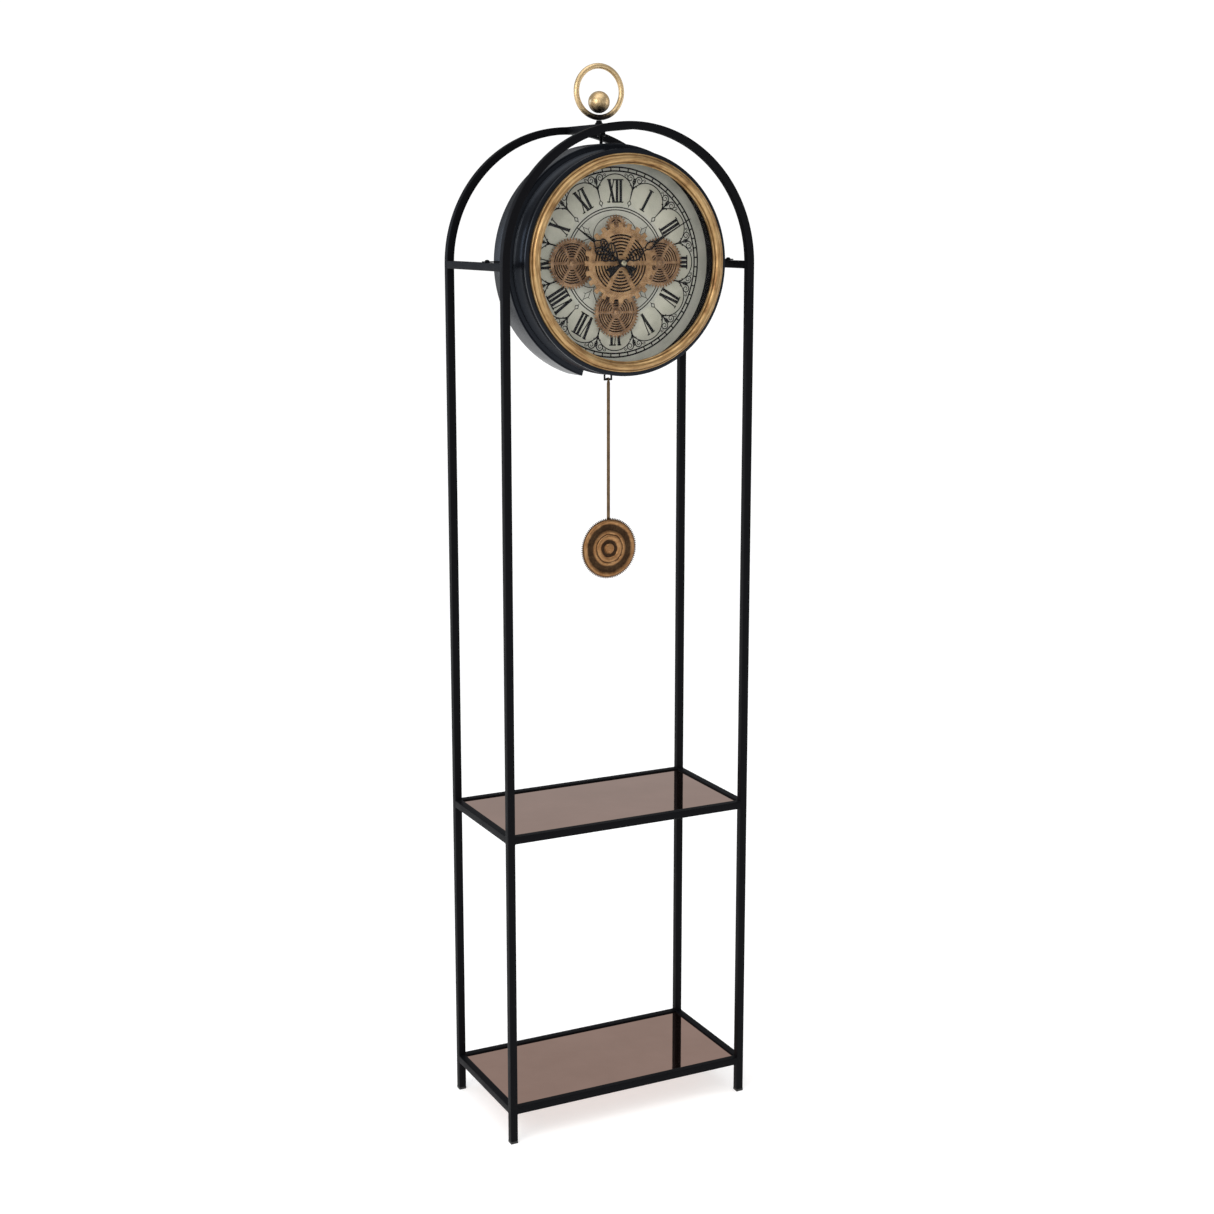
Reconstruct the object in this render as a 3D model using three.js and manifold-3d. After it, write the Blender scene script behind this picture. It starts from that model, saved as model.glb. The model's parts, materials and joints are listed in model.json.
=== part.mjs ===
// Arched floor clock: two arched loops of square steel tube carry a round clock case with
// open gearwork, a pendulum that hangs in the frame, and two glass shelves.
// Millimetres, +Z up, +X to the right of someone facing the dial, front towards -Y.
// The origin is on the floor under the middle of the frame.

import * as THREE from 'three';
import { mergeVertices } from 'three/addons/utils/BufferGeometryUtils.js';
import Module from 'manifold-3d';

const wasm = await Module();
wasm.setup();

// ---------------------------------------------------------------- driving dimensions

const TUBE = 13;               // side of the square tube
const WALL = 1.2;              // its wall
const WIDTH = 456;             // between the leg centres, left to right
const DEPTH = 237;             // between the leg centres, front to back
const CREST = 1748;            // top of the arches
const MIDDLE_SHELF = 559;      // top of the middle shelf's rails
const LOWER_SHELF = 67;        // top of the lower shelf's rails
const GLASS = 5;               // shelf glass thickness
const GLASS_RECESS = 2.5;      // glass top below the rail top
const GAP = 0.3;               // clearance between pieces that rest on each other

const CASE_RAISE = 4;          // dial centre above the springing of the arches
const DIAL_FRONT = 61;         // front of the dial, forward of the frame's middle
const BEZEL_FORWARD = 110;     // plane where the bezel is widest, forward of the middle
const BEZEL_OUTER = 180;
const BEZEL_INNER = 162;
const RIM_RADIUS = 187;        // front rim of the drum
const BAND_RADIUS = 197.5;     // sheet band round the back of the case
const BAND_REAR = -2;          // depth of its rear edge; negative is forward of the middle
const BAND_FRONT = 58;         // its front edge, forward of the middle
const BAND_OPENING = 18;       // half angle of its opening at the bottom, degrees

const PENDULUM_FORWARD = 33;   // pendulum plane, forward of the frame's middle
const PIVOT_RAISE = 30;        // pendulum pivot above the dial centre
const BUCKLE_BOTTOM = 1318;    // lowest point of the hanger
const BOB_HEIGHT = 1026;       // bob centre above the floor
const BOB_RADIUS = 53.5;

const GEAR_MODULE = 1.7;       // tooth size of the fine gears
const FINE_TEETH = 48;
const MOTOR_TEETH = 22;
const COARSE_TEETH = 24;       // the big open gear in front
const COARSE_RADIUS = 67;

const HOUR_LENGTH = 102;
const MINUTE_LENGTH = 146;
const HOUR_ANGLE = 305;        // hands at ten past ten, clockwise from twelve
const MINUTE_ANGLE = 60;

// ---------------------------------------------------------------- derived places

const LEG_X = WIDTH / 2;
const LEG_Y = DEPTH / 2;
const INNER_X = LEG_X - TUBE / 2;
const INNER_Y = LEG_Y - TUBE / 2;
const SPRING = CREST - LEG_X - TUBE / 2;      // where the legs end and the arches begin
const CASE_Z = SPRING + CASE_RAISE;           // dial centre
const CAP_HEIGHT = 4;                         // foot cap under each leg
const FINE_PITCH = (GEAR_MODULE * FINE_TEETH) / 2;
const MOTOR_PITCH = (GEAR_MODULE * MOTOR_TEETH) / 2;
const SATELLITE_DISTANCE = 2 * FINE_PITCH;
const MOTOR_DISTANCE = FINE_PITCH + MOTOR_PITCH;
const FINE_PLANE = DIAL_FRONT + 3;            // back face of the fine gears
const COARSE_PLANE = DIAL_FRONT + 19;         // back face of the big gear
const PLATE = 2;                              // gear plate thickness
const PIVOT_Z = CASE_Z + PIVOT_RAISE;

const ROUND = 40;                             // sides of a full turn of the case
const SMALL_ROUND = 16;                       // sides of a pin, post or bore

// ---------------------------------------------------------------- materials

const finish = (color, roughness, metalness) =>
  new THREE.MeshStandardMaterial({ color, roughness, metalness });

const black = finish(0x17181c, 0.5, 0.3);
const gold = finish(0xb58a4c, 0.35, 0.9);
const coarseGold = finish(0xb0824a, 0.45, 0.8);
const copper = finish(0x8f623c, 0.5, 0.8);
const bronzeGlass = finish(0x8c6a58, 0.08, 0.5);
const clearGlass = finish(0xe8eef0, 0.03, 0);
const cream = finish(0xc9c9b8, 0.6, 0);
const plastic = finish(0x1d1d1f, 0.6, 0);
const rubber = finish(0x101010, 0.85, 0);
const steel = finish(0xb8b4a8, 0.3, 0.9);
const cell = finish(0x30343a, 0.4, 0.3);

// ---------------------------------------------------------------- solid helpers

// Position-only geometry with shared vertices: one closed shell.
function shell(geometry) {
  geometry.deleteAttribute('normal');
  geometry.deleteAttribute('uv');
  return mergeVertices(geometry, 1e-4);
}

function toSolid(geometry) {
  const closed = shell(geometry);
  return new wasm.Manifold(new wasm.Mesh({
    numProp: 3,
    vertProperties: new Float32Array(closed.attributes.position.array),
    triVerts: new Uint32Array(closed.index.array),
  }));
}

function fromSolid(solid) {
  const mesh = solid.getMesh();
  const geometry = new THREE.BufferGeometry();
  geometry.setAttribute('position', new THREE.BufferAttribute(mesh.vertProperties, 3));
  geometry.setIndex(new THREE.BufferAttribute(mesh.triVerts, 1));
  return geometry;
}

function named(name, geometry, material) {
  const mesh = new THREE.Mesh(geometry, material);
  mesh.name = name;
  return mesh;
}

// Box from its lowest corner and its size.
function boxAt(low, size) {
  const box = new THREE.BoxGeometry(...size);
  return box.translate(low[0] + size[0] / 2, low[1] + size[1] / 2, low[2] + size[2] / 2);
}

// Body of revolution about Y, from a closed outline of [radius, y] pairs drawn anticlockwise.
function turned(outline, segments) {
  const points = [...outline, outline[0]].map(([r, y]) => new THREE.Vector2(r, y));
  return shell(new THREE.LatheGeometry(points, segments));
}

// Body of revolution about Y whose outline starts and ends on the axis, lowest y first.
function turnedSolid(outline, segments) {
  return shell(new THREE.LatheGeometry(outline.map(([r, y]) => new THREE.Vector2(r, y)), segments));
}

function plate(shape, thickness) {
  return shell(new THREE.ExtrudeGeometry(shape, { depth: thickness, bevelEnabled: false }));
}

const polar = (radius, angle) => [radius * Math.cos(angle), radius * Math.sin(angle)];

function polygon(points, Kind = THREE.Shape) {
  return new Kind(points.map(([x, y]) => new THREE.Vector2(x, y)));
}

// Points along a circular arc, both ends included.
function arcPoints(radius, from, to, steps) {
  return Array.from({ length: steps + 1 }, (_, i) => polar(radius, from + ((to - from) * i) / steps));
}

const disc = (radius, sides) => polygon(arcPoints(radius, 0, 2 * Math.PI, sides).slice(0, -1));

function circleHole(radius, x = 0, y = 0) {
  const points = arcPoints(radius, 2 * Math.PI, 0, SMALL_ROUND).slice(0, -1);
  return polygon(points.map(([px, py]) => [px + x, py + y]), THREE.Path);
}

// ---------------------------------------------------------------- frame

const hollowSquare = (() => {
  const half = TUBE / 2;
  const bore = half - WALL;
  const shape = polygon([[-half, -half], [half, -half], [half, half], [-half, half]]);
  shape.holes.push(polygon([[-bore, -bore], [-bore, bore], [bore, bore], [bore, -bore]], THREE.Path));
  return shape;
})();

// Straight length of tube that starts at its mesh's origin and runs along +Z.
const tube = (length) => plate(hollowSquare, length);

class ArchPath extends THREE.Curve {
  getPoint(t, target = new THREE.Vector3()) {
    const angle = Math.PI * (1 - t);
    return target.set(LEG_X * Math.cos(angle), 0, LEG_X * Math.sin(angle));
  }

  getTangent(t, target = new THREE.Vector3()) {
    const angle = Math.PI * (1 - t);
    return target.set(Math.sin(angle), 0, -Math.cos(angle));
  }
}

function buildFrame() {
  const frame = new THREE.Group();

  for (const [end, y] of [['front', -LEG_Y], ['rear', LEG_Y]]) {
    for (const [side, x] of [['left', -LEG_X], ['right', LEG_X]]) {
      const leg = named(`${end}_${side}_leg`, tube(SPRING - CAP_HEIGHT), black);
      leg.position.set(x, y, CAP_HEIGHT);
      frame.add(leg);

      const plugSide = TUBE - 2 * WALL - 2 * GAP;
      const cap = toSolid(boxAt([-TUBE / 2, -TUBE / 2, 0], [TUBE, TUBE, CAP_HEIGHT]))
        .add(toSolid(boxAt([-plugSide / 2, -plugSide / 2, 1], [plugSide, plugSide, 14])));
      const foot = named(`${end}_${side}_foot_cap`, fromSolid(cap), rubber);
      foot.position.set(x, y, 0);
      frame.add(foot);
    }

    const arch = named(`${end}_arch`, shell(new THREE.ExtrudeGeometry(hollowSquare, {
      steps: 20, bevelEnabled: false, extrudePath: new ArchPath(),
    })), black);
    arch.position.set(0, y, SPRING);
    frame.add(arch);
  }

  for (const [side, x] of [['left', -LEG_X], ['right', LEG_X]]) {
    const bar = named(`${side}_side_bar`, tube(2 * INNER_Y), black);
    bar.rotation.x = -Math.PI / 2;
    bar.position.set(x, -INNER_Y, SPRING);
    frame.add(bar);
  }

  const bridge = named('top_bridge', tube(2 * INNER_Y), black);
  bridge.rotation.x = -Math.PI / 2;
  bridge.position.set(0, -INNER_Y, CREST - TUBE / 2);
  frame.add(bridge);
  return frame;
}

// ---------------------------------------------------------------- shelves

function buildShelf(level, top) {
  const shelf = new THREE.Group();
  shelf.position.z = top;

  for (const [end, y] of [['front', -LEG_Y], ['rear', LEG_Y]]) {
    const rail = named(`${level}_${end}_rail`, tube(2 * INNER_X), black);
    rail.rotation.y = Math.PI / 2;
    rail.position.set(-INNER_X, y, -TUBE / 2);
    shelf.add(rail);
  }
  for (const [side, x] of [['left', -LEG_X], ['right', LEG_X]]) {
    const rail = named(`${level}_${side}_rail`, tube(2 * INNER_Y), black);
    rail.rotation.x = -Math.PI / 2;
    rail.position.set(x, -INNER_Y, -TUBE / 2);
    shelf.add(rail);
  }

  // A flat ledge inside the rails carries the glass.
  const ledgeWidth = 9;
  const ledgeThickness = 2;
  const glassBottom = -GLASS_RECESS - GLASS;
  const rectangle = (x, y, Kind) => polygon([[-x, -y], [x, -y], [x, y], [-x, y]], Kind);
  const outline = rectangle(INNER_X, INNER_Y);
  outline.holes.push(rectangle(INNER_X - ledgeWidth, INNER_Y - ledgeWidth, THREE.Path));
  const ledge = named(`${level}_shelf_ledge`, plate(outline, ledgeThickness), black);
  ledge.position.z = glassBottom - ledgeThickness;
  shelf.add(ledge);

  const play = 0.5;
  const glass = named(`${level}_shelf_glass`, shell(new THREE.BoxGeometry(
    2 * (INNER_X - play), 2 * (INNER_Y - play), GLASS)), bronzeGlass);
  glass.position.z = glassBottom + GLASS / 2;
  shelf.add(glass);
  return shelf;
}

// ---------------------------------------------------------------- finial and hanger

function buildFinial() {
  const finial = new THREE.Group();
  const neck = 6;               // stud height between the bridge and the ring
  const ringRadius = 42.3;      // to the middle of the wire
  const wire = 4.7;
  const ballRadius = 18.3;
  const studRadius = 4.5;

  const ring = named('finial_ring', shell(new THREE.TorusGeometry(ringRadius, wire, 8, 28)), gold);
  ring.rotation.x = Math.PI / 2;
  ring.position.z = CREST + neck + GAP + ringRadius + wire;
  finial.add(ring);

  const ball = named('finial_ball', shell(new THREE.SphereGeometry(ballRadius, 16, 10)), gold);
  ball.rotation.x = Math.PI / 2;
  ball.position.z = CREST + neck + 2 * wire + 2 * GAP + 2 + ballRadius;
  finial.add(ball);

  const stud = named('finial_stud', shell(new THREE.CylinderGeometry(
    studRadius, studRadius + 2.5, neck, SMALL_ROUND)), black);
  stud.rotation.x = Math.PI / 2;
  stud.position.z = CREST + neck / 2;
  finial.add(stud);
  return finial;
}

function hexagon(cornerRadius, bore) {
  const corners = Array.from({ length: 6 }, (_, i) => polar(cornerRadius, (i * Math.PI) / 3));
  const shape = polygon(corners);
  shape.holes.push(circleHole(bore));
  return shape;
}

// The bolt hangs the top of the case from the bridge, with a nut under the bridge.
function buildHanger() {
  const hanger = new THREE.Group();
  hanger.position.y = -8;
  const underBridge = CREST - TUBE - GAP;
  const boltRadius = 3.2;
  const nutHeight = 7;
  const caseTop = CASE_Z + BAND_RADIUS + GAP;
  const bolt = named('hanger_bolt', shell(new THREE.CylinderGeometry(
    boltRadius, boltRadius, underBridge - caseTop, SMALL_ROUND)), black);
  bolt.rotation.x = Math.PI / 2;
  bolt.position.z = (underBridge + caseTop) / 2;
  hanger.add(bolt);

  const nut = named('hanger_nut', plate(hexagon(8, boltRadius + GAP), nutHeight), black);
  nut.position.z = underBridge - nutHeight;
  hanger.add(nut);
  return hanger;
}

// ---------------------------------------------------------------- case

// Angles from one side of the opening round the top to the other side.
function bandSpan() {
  const opening = THREE.MathUtils.degToRad(BAND_OPENING);
  return [-Math.PI / 2 + opening, (3 * Math.PI) / 2 - opening];
}

// Pieces turned about the dial's axis: their y is the world's y.
function buildCase() {
  const housing = new THREE.Group();
  housing.position.z = CASE_Z;
  const front = -BEZEL_FORWARD;
  const liner = 174;                            // inside wall between glass and dial
  const sheet = 2;

  const lip = front + 2 + GAP;                  // front of the drum and of the glass
  housing.add(named('bezel_ring', turned([
    [BEZEL_INNER, front + 2], [BEZEL_INNER, front - 3], [BEZEL_INNER + 3, front - 6.5],
    [BEZEL_INNER + 8, front - 8], [BEZEL_OUTER - 3.5, front - 6], [BEZEL_OUTER, front - 1],
    [BEZEL_OUTER, front + 2],
  ], ROUND), gold));

  housing.add(named('lens', turnedSolid([
    [0, lip], [liner - 1, lip], [liner - 1, lip + 2.5], [0, lip + 2.5],
  ], ROUND), clearGlass));

  const dialSeat = -(DIAL_FRONT + GAP);
  const rear = -(BAND_FRONT + GAP);
  housing.add(named('case_drum', turned([
    [liner, dialSeat], [liner, lip], [RIM_RADIUS, lip], [RIM_RADIUS, lip + 5],
    [RIM_RADIUS - 6, lip + 12], [RIM_RADIUS - 7, lip + 22], [RIM_RADIUS - 4, lip + 38],
    [RIM_RADIUS + 1, rear], [RIM_RADIUS - 1, rear], [RIM_RADIUS - 9, lip + 24],
    [RIM_RADIUS - 3, lip + 5], [RIM_RADIUS - 3, lip + sheet], [liner + sheet, lip + sheet],
    [liner + sheet, dialSeat],
  ], ROUND), black));

  // Sheet band, open at the bottom where the pendulum comes through.
  const [from, to] = bandSpan();
  const strip = polygon([
    ...arcPoints(BAND_RADIUS, from, to, ROUND),
    ...arcPoints(BAND_RADIUS - sheet, to, from, ROUND),
  ]);
  const band = named('rear_band', plate(strip, BAND_FRONT + BAND_REAR), black);
  band.rotation.x = Math.PI / 2;
  band.position.y = BAND_REAR;
  housing.add(band);
  return housing;
}

// ---------------------------------------------------------------- pieces seen face on

// Toothed outline with straight flanks, first tooth at the given angle.
function gearShape(teeth, root, tip, rootShare, tipShare, firstTooth = 0) {
  const pitch = (2 * Math.PI) / teeth;
  const points = [];
  for (let i = 0; i < teeth; i += 1) {
    const middle = firstTooth + i * pitch;
    points.push(polar(root, middle - rootShare * pitch), polar(tip, middle - tipShare * pitch));
    points.push(polar(tip, middle + tipShare * pitch), polar(root, middle + rootShare * pitch));
  }
  return polygon(points);
}

// Curved windows between the spokes, in rings of the given mean radii.
function addWindows(shape, radii, width, spokes, spokeWidth) {
  for (const radius of radii) {
    for (let i = 0; i < spokes; i += 1) {
      const clear = spokeWidth / 2 / radius;
      const from = (i * 2 * Math.PI) / spokes + clear;
      const to = ((i + 1) * 2 * Math.PI) / spokes - clear;
      shape.holes.push(polygon([
        ...arcPoints(radius - width / 2, from, to, 3), ...arcPoints(radius + width / 2, to, from, 3),
      ], THREE.Path));
    }
  }
}

function fineGear(teeth, bore, firstTooth) {
  const pitch = (GEAR_MODULE * teeth) / 2;
  const root = pitch - 1.2 * GEAR_MODULE;
  const tip = pitch + 0.9 * GEAR_MODULE;
  const shape = gearShape(teeth, root, tip, 0.29, 0.13, firstTooth);
  if (bore > 0) shape.holes.push(circleHole(bore));
  return shape;
}

function buildGears() {
  const gears = new THREE.Group();
  const bushing = 4;
  const postRadius = 3;
  const halfTooth = Math.PI / FINE_TEETH;

  const satellites = [
    ['left', -SATELLITE_DISTANCE, 0],
    ['right', SATELLITE_DISTANCE, 0],
    ['lower', 0, -SATELLITE_DISTANCE],
  ];
  for (const [side, x, y] of satellites) {
    const shape = fineGear(FINE_TEETH, postRadius + GAP, halfTooth);
    addWindows(shape, [26], 8, 6, 4);
    const gear = named(`${side}_gear`, plate(shape, PLATE), copper);
    gear.position.set(x, y, FINE_PLANE);
    gears.add(gear);

    // Shouldered post riveted into the dial; its head keeps the gear on.
    const post = named(`${side}_gear_post`, turnedSolid([
      [0, 0], [postRadius, 0], [postRadius, FINE_PLANE + PLATE + GAP - DIAL_FRONT],
      [postRadius + 2.5, FINE_PLANE + PLATE + GAP - DIAL_FRONT],
      [postRadius + 1.5, FINE_PLANE + PLATE + 3 - DIAL_FRONT],
      [0, FINE_PLANE + PLATE + 3 - DIAL_FRONT],
    ], SMALL_ROUND), copper);
    post.rotation.x = Math.PI / 2;
    post.position.set(x, y, DIAL_FRONT + GAP);
    gears.add(post);
  }

  const drive = named('drive_gear', plate(fineGear(FINE_TEETH, bushing + GAP, 0), PLATE), copper);
  drive.position.z = FINE_PLANE;
  gears.add(drive);

  const arbor = named('gear_arbor', turned([
    [bushing + 0.1, FINE_PLANE + PLATE + GAP], [7, FINE_PLANE + PLATE + GAP],
    [7, COARSE_PLANE - GAP], [bushing + 0.1, COARSE_PLANE - GAP],
  ], SMALL_ROUND), copper);
  arbor.rotation.x = Math.PI / 2;
  gears.add(arbor);

  const coarse = gearShape(COARSE_TEETH, COARSE_RADIUS - 7, COARSE_RADIUS, 0.27, 0.24);
  coarse.holes.push(circleHole(bushing + GAP));
  addWindows(coarse, [18, 30, 42, 54], 5, 6, 5);
  const big = named('centre_gear', plate(coarse, PLATE), coarseGold);
  big.position.z = COARSE_PLANE;
  gears.add(big);

  // Pinion on the gear motor's shaft, which passes through the dial.
  const shaftBack = BAND_FRONT - 2;
  const shaft = new THREE.CylinderGeometry(2, 2, FINE_PLANE + PLATE / 2 - shaftBack, SMALL_ROUND);
  shaft.rotateX(Math.PI / 2).translate(0, 0, (shaftBack - FINE_PLANE + PLATE / 2) / 2);
  const upper = named('upper_gear', fromSolid(
    toSolid(plate(fineGear(MOTOR_TEETH, 0, 0), PLATE)).add(toSolid(shaft))), copper);
  upper.position.set(0, MOTOR_DISTANCE, FINE_PLANE);
  gears.add(upper);
  return gears;
}

// Leaf-shaped pierced hand that points along +Y, with a flared tail, on its own hollow arbor.
function handGeometry(length, tail, leafFrom, leafTo, leafWidth, bore, arborRadius, arborBack) {
  const leaf = (leafFrom + leafTo) / 2;
  const shape = polygon([
    [-2.2, 0], [-2.6, -tail * 0.45], [-6, -tail], [0, -tail * 0.86],
    [6, -tail], [2.6, -tail * 0.45], [2.2, 0],
    [2.4, leafFrom], [leafWidth * 0.8, leaf - (leaf - leafFrom) * 0.5], [leafWidth, leaf],
    [leafWidth * 0.6, leafTo - (leafTo - leaf) * 0.4], [1.8, leafTo], [0.5, length],
    [-0.5, length], [-1.8, leafTo], [-leafWidth * 0.6, leafTo - (leafTo - leaf) * 0.4],
    [-leafWidth, leaf], [-leafWidth * 0.8, leaf - (leaf - leafFrom) * 0.5], [-2.4, leafFrom],
  ]);
  const eye = leafWidth * 0.5;
  for (const side of [-1, 1]) {
    shape.holes.push(polygon([
      [side * 1.2, leafFrom + 7], [side * eye, leaf - 4], [side * eye, leaf + 4], [side * 1.2, leafTo - 7],
    ], THREE.Path));
  }
  const blade = toSolid(plate(shape, 1));
  const hub = new THREE.CylinderGeometry(6.5, 6.5, 1, SMALL_ROUND).rotateX(Math.PI / 2).translate(0, 0, 0.5);
  const arbor = new THREE.CylinderGeometry(arborRadius, arborRadius, arborBack, SMALL_ROUND);
  arbor.rotateX(Math.PI / 2).translate(0, 0, 0.5 - arborBack / 2);
  let hand = blade.add(toSolid(hub)).add(toSolid(arbor));
  if (bore > 0) {
    const hole = new THREE.CylinderGeometry(bore, bore, arborBack * 2 + 4, SMALL_ROUND).rotateX(Math.PI / 2);
    hand = hand.subtract(toSolid(hole));
  }
  return fromSolid(hand);
}

function buildHands() {
  const hands = new THREE.Group();
  const hourPlane = DIAL_FRONT + 26;
  const minutePlane = DIAL_FRONT + 30;
  const arborEnd = BAND_FRONT - 1;              // the arbors end inside the movement's bushing
  const clockwise = (degrees) => -THREE.MathUtils.degToRad(degrees);

  const hour = named('hour_hand', handGeometry(
    HOUR_LENGTH, 28, 22, 68, 13, 1.7, 2.9, hourPlane - arborEnd - 1), black);
  hour.position.z = hourPlane;
  hour.rotation.z = clockwise(HOUR_ANGLE);
  hands.add(hour);

  const minute = named('minute_hand', handGeometry(
    MINUTE_LENGTH, 34, 34, 86, 9, 0, 1.5, minutePlane - arborEnd), black);
  minute.position.z = minutePlane;
  minute.rotation.z = clockwise(MINUTE_ANGLE);
  hands.add(minute);

  const cap = named('hand_cap', turnedSolid([
    [0, 0], [5, 0], [4.6, 1.4], [3, 3.2], [0, 4],
  ], SMALL_ROUND), steel);
  cap.rotation.x = Math.PI / 2;
  cap.position.z = minutePlane + 1 + GAP;
  hands.add(cap);
  return hands;
}

function buildDial() {
  const dial = new THREE.Group();
  // The back plate is notched in line with the band's opening.
  const [from, to] = bandSpan();
  const notched = polygon([
    ...arcPoints(BAND_RADIUS - 2 - 2 * GAP, from, to, ROUND),
    ...arcPoints(RIM_RADIUS - 2.5, to, from + 2 * Math.PI, SMALL_ROUND),
  ]);
  const plates = [
    ['dial_plate', disc(178, ROUND), DIAL_FRONT, cream],
    ['back_plate', notched, BAND_FRONT, black],
  ];
  for (const [name, shape, front, material] of plates) {
    shape.holes.push(circleHole(4.4), circleHole(2.5, 0, MOTOR_DISTANCE));
    const sheet = named(name, plate(shape, 2), material);
    sheet.position.z = front - 2;
    dial.add(sheet);
  }
  return dial;
}

// ---------------------------------------------------------------- movement and gear motor

// Plastic box with an open pocket at its back for one cell.
function poweredBox(low, size, pocketX, pocketZ) {
  const pocket = [15.6, 17, 52];
  return toSolid(boxAt(low, size))
    .subtract(toSolid(boxAt([pocketX, low[1] + size[1] - 16, pocketZ], pocket)));
}

function cellAt(name, x, y, z) {
  const battery = named(name, turnedSolid([
    [0, -25], [7, -25], [7, 23.6], [2.6, 23.6], [2.6, 25], [0, 25],
  ], SMALL_ROUND), cell);
  battery.rotation.x = Math.PI / 2;
  battery.position.set(x, y, z);
  return battery;
}

function buildMovement() {
  const movement = new THREE.Group();
  movement.position.z = CASE_Z;
  const front = -(BAND_FRONT - 2 - GAP);        // boxes lie against the back plate
  const depth = 18.7;
  const rear = front + depth;

  const pin = new THREE.CylinderGeometry(2, 2, 8, SMALL_ROUND).translate(0, rear + 2, PIVOT_RAISE);
  const box = poweredBox([-30, front, -40], [60, depth, 78], 12.2, -34)
    .add(toSolid(pin));
  movement.add(named('movement_housing', fromSolid(box), plastic));
  movement.add(cellAt('movement_battery', 20, rear - 8, -8));

  movement.add(named('movement_bushing', turned([
    [3.05, front - GAP], [3.05, -(DIAL_FRONT + 24)], [4, -(DIAL_FRONT + 24)], [4, front - GAP],
  ], SMALL_ROUND), steel));

  const knob = named('setting_knob', shell(new THREE.CylinderGeometry(6, 6, 5, SMALL_ROUND)), plastic);
  knob.position.set(-19, rear + GAP + 2.5, -24);
  movement.add(knob);

  const motorLow = 41.5;
  const motor = poweredBox([-22, front, motorLow], [66, depth, 56], 26, motorLow + 2);
  movement.add(named('gear_motor_housing', fromSolid(motor), plastic));
  movement.add(cellAt('motor_battery', 33.8, rear - 8, motorLow + 28));
  return movement;
}

// ---------------------------------------------------------------- pendulum

function buildPendulum() {
  const pendulum = new THREE.Group();
  pendulum.rotation.x = Math.PI / 2;            // local x right, y up, z forward
  const buckleHalf = 8;
  const buckleTop = BUCKLE_BOTTOM + 16;
  const strip = 3.5;
  const top = PIVOT_Z + 6;

  const outline = polygon([
    [-buckleHalf, BUCKLE_BOTTOM], [-2.5, BUCKLE_BOTTOM], [0, BUCKLE_BOTTOM + 1.6], [2.5, BUCKLE_BOTTOM],
    [buckleHalf, BUCKLE_BOTTOM], [buckleHalf, buckleTop], [strip, buckleTop + 4],
    [strip, top], [-strip, top], [-strip, buckleTop + 4], [-buckleHalf, buckleTop],
  ]);
  outline.holes.push(circleHole(2.3, 0, PIVOT_Z));
  outline.holes.push(polygon([
    [-5, BUCKLE_BOTTOM + 3.5], [-5, buckleTop - 3], [5, buckleTop - 3], [5, BUCKLE_BOTTOM + 3.5],
    [0, BUCKLE_BOTTOM + 5],
  ], THREE.Path));
  const hanger = named('pendulum_hanger', plate(outline, 1.5), black);
  hanger.position.z = PENDULUM_FORWARD;
  pendulum.add(hanger);

  const rodHalf = 3;
  const rodTop = BUCKLE_BOTTOM + 6;
  const rodPlane = PENDULUM_FORWARD + 1.5 + GAP;
  const rod = named('pendulum_rod', plate(polygon([
    [-rodHalf, BOB_HEIGHT - 12], [rodHalf, BOB_HEIGHT - 12], [rodHalf, rodTop - 9], [0, rodTop],
    [-rodHalf, rodTop - 9],
  ]), 1.5), copper);
  rod.position.z = rodPlane;
  pendulum.add(rod);

  // Stamped disc with fine teeth; raised rim, sunk channel, raised ring and centre boss.
  const rimTeeth = 96;
  const toothed = polygon(Array.from({ length: 2 * rimTeeth }, (_, i) =>
    polar(BOB_RADIUS - (i % 2) * 2.6, (i * Math.PI) / rimTeeth)));
  const relief = turnedSolid([
    [0, 1], [46, 1], [46, 3.2], [39, 3.2], [37, 2.4], [29, 2.4], [27, 4.2], [20, 4.2], [18, 2.8],
    [9, 2.8], [7, 6], [0, 6],
  ], 24).rotateX(Math.PI / 2);
  const bob = named('pendulum_bob', fromSolid(
    toSolid(plate(toothed, 2)).add(toSolid(relief))), copper);
  bob.position.set(0, BOB_HEIGHT, rodPlane + 1.5 + GAP);
  pendulum.add(bob);
  return pendulum;
}

// ---------------------------------------------------------------- case brackets

// Bent tab from the top of each side bar to the band.
function buildBrackets() {
  const brackets = new THREE.Group();
  const sheet = 2;
  const width = 14;
  const level = SPRING + TUBE / 2 + GAP;
  const outer = LEG_X + TUBE / 2;
  const inner = BAND_RADIUS + 2 * GAP;
  for (const [side, sign] of [['left', -1], ['right', 1]]) {
    const corners = [
      [outer, 0], [outer, sheet], [inner, sheet], [inner, -14], [inner + sheet, -14], [inner + sheet, 0],
    ].map(([x, z]) => [sign * x, z]);
    const bracket = named(`${side}_case_bracket`, plate(polygon(corners), width), black);
    bracket.rotation.x = Math.PI / 2;
    bracket.position.set(0, -40, level);
    brackets.add(bracket);
  }
  return brackets;
}

// ---------------------------------------------------------------- assembly

const face = new THREE.Group();                 // local x right, y up, z forward from the middle
face.rotation.x = Math.PI / 2;
face.position.z = CASE_Z;
face.add(buildDial(), buildGears(), buildHands());

const clock = new THREE.Group();
clock.add(buildFrame());
clock.add(buildShelf('middle', MIDDLE_SHELF), buildShelf('lower', LOWER_SHELF));
clock.add(buildFinial(), buildHanger(), buildBrackets());
clock.add(buildCase(), buildMovement(), buildPendulum(), face);

export default clock;
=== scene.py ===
import json
import math
import random

import bmesh
import bpy
from mathutils import Matrix, Vector


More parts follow.
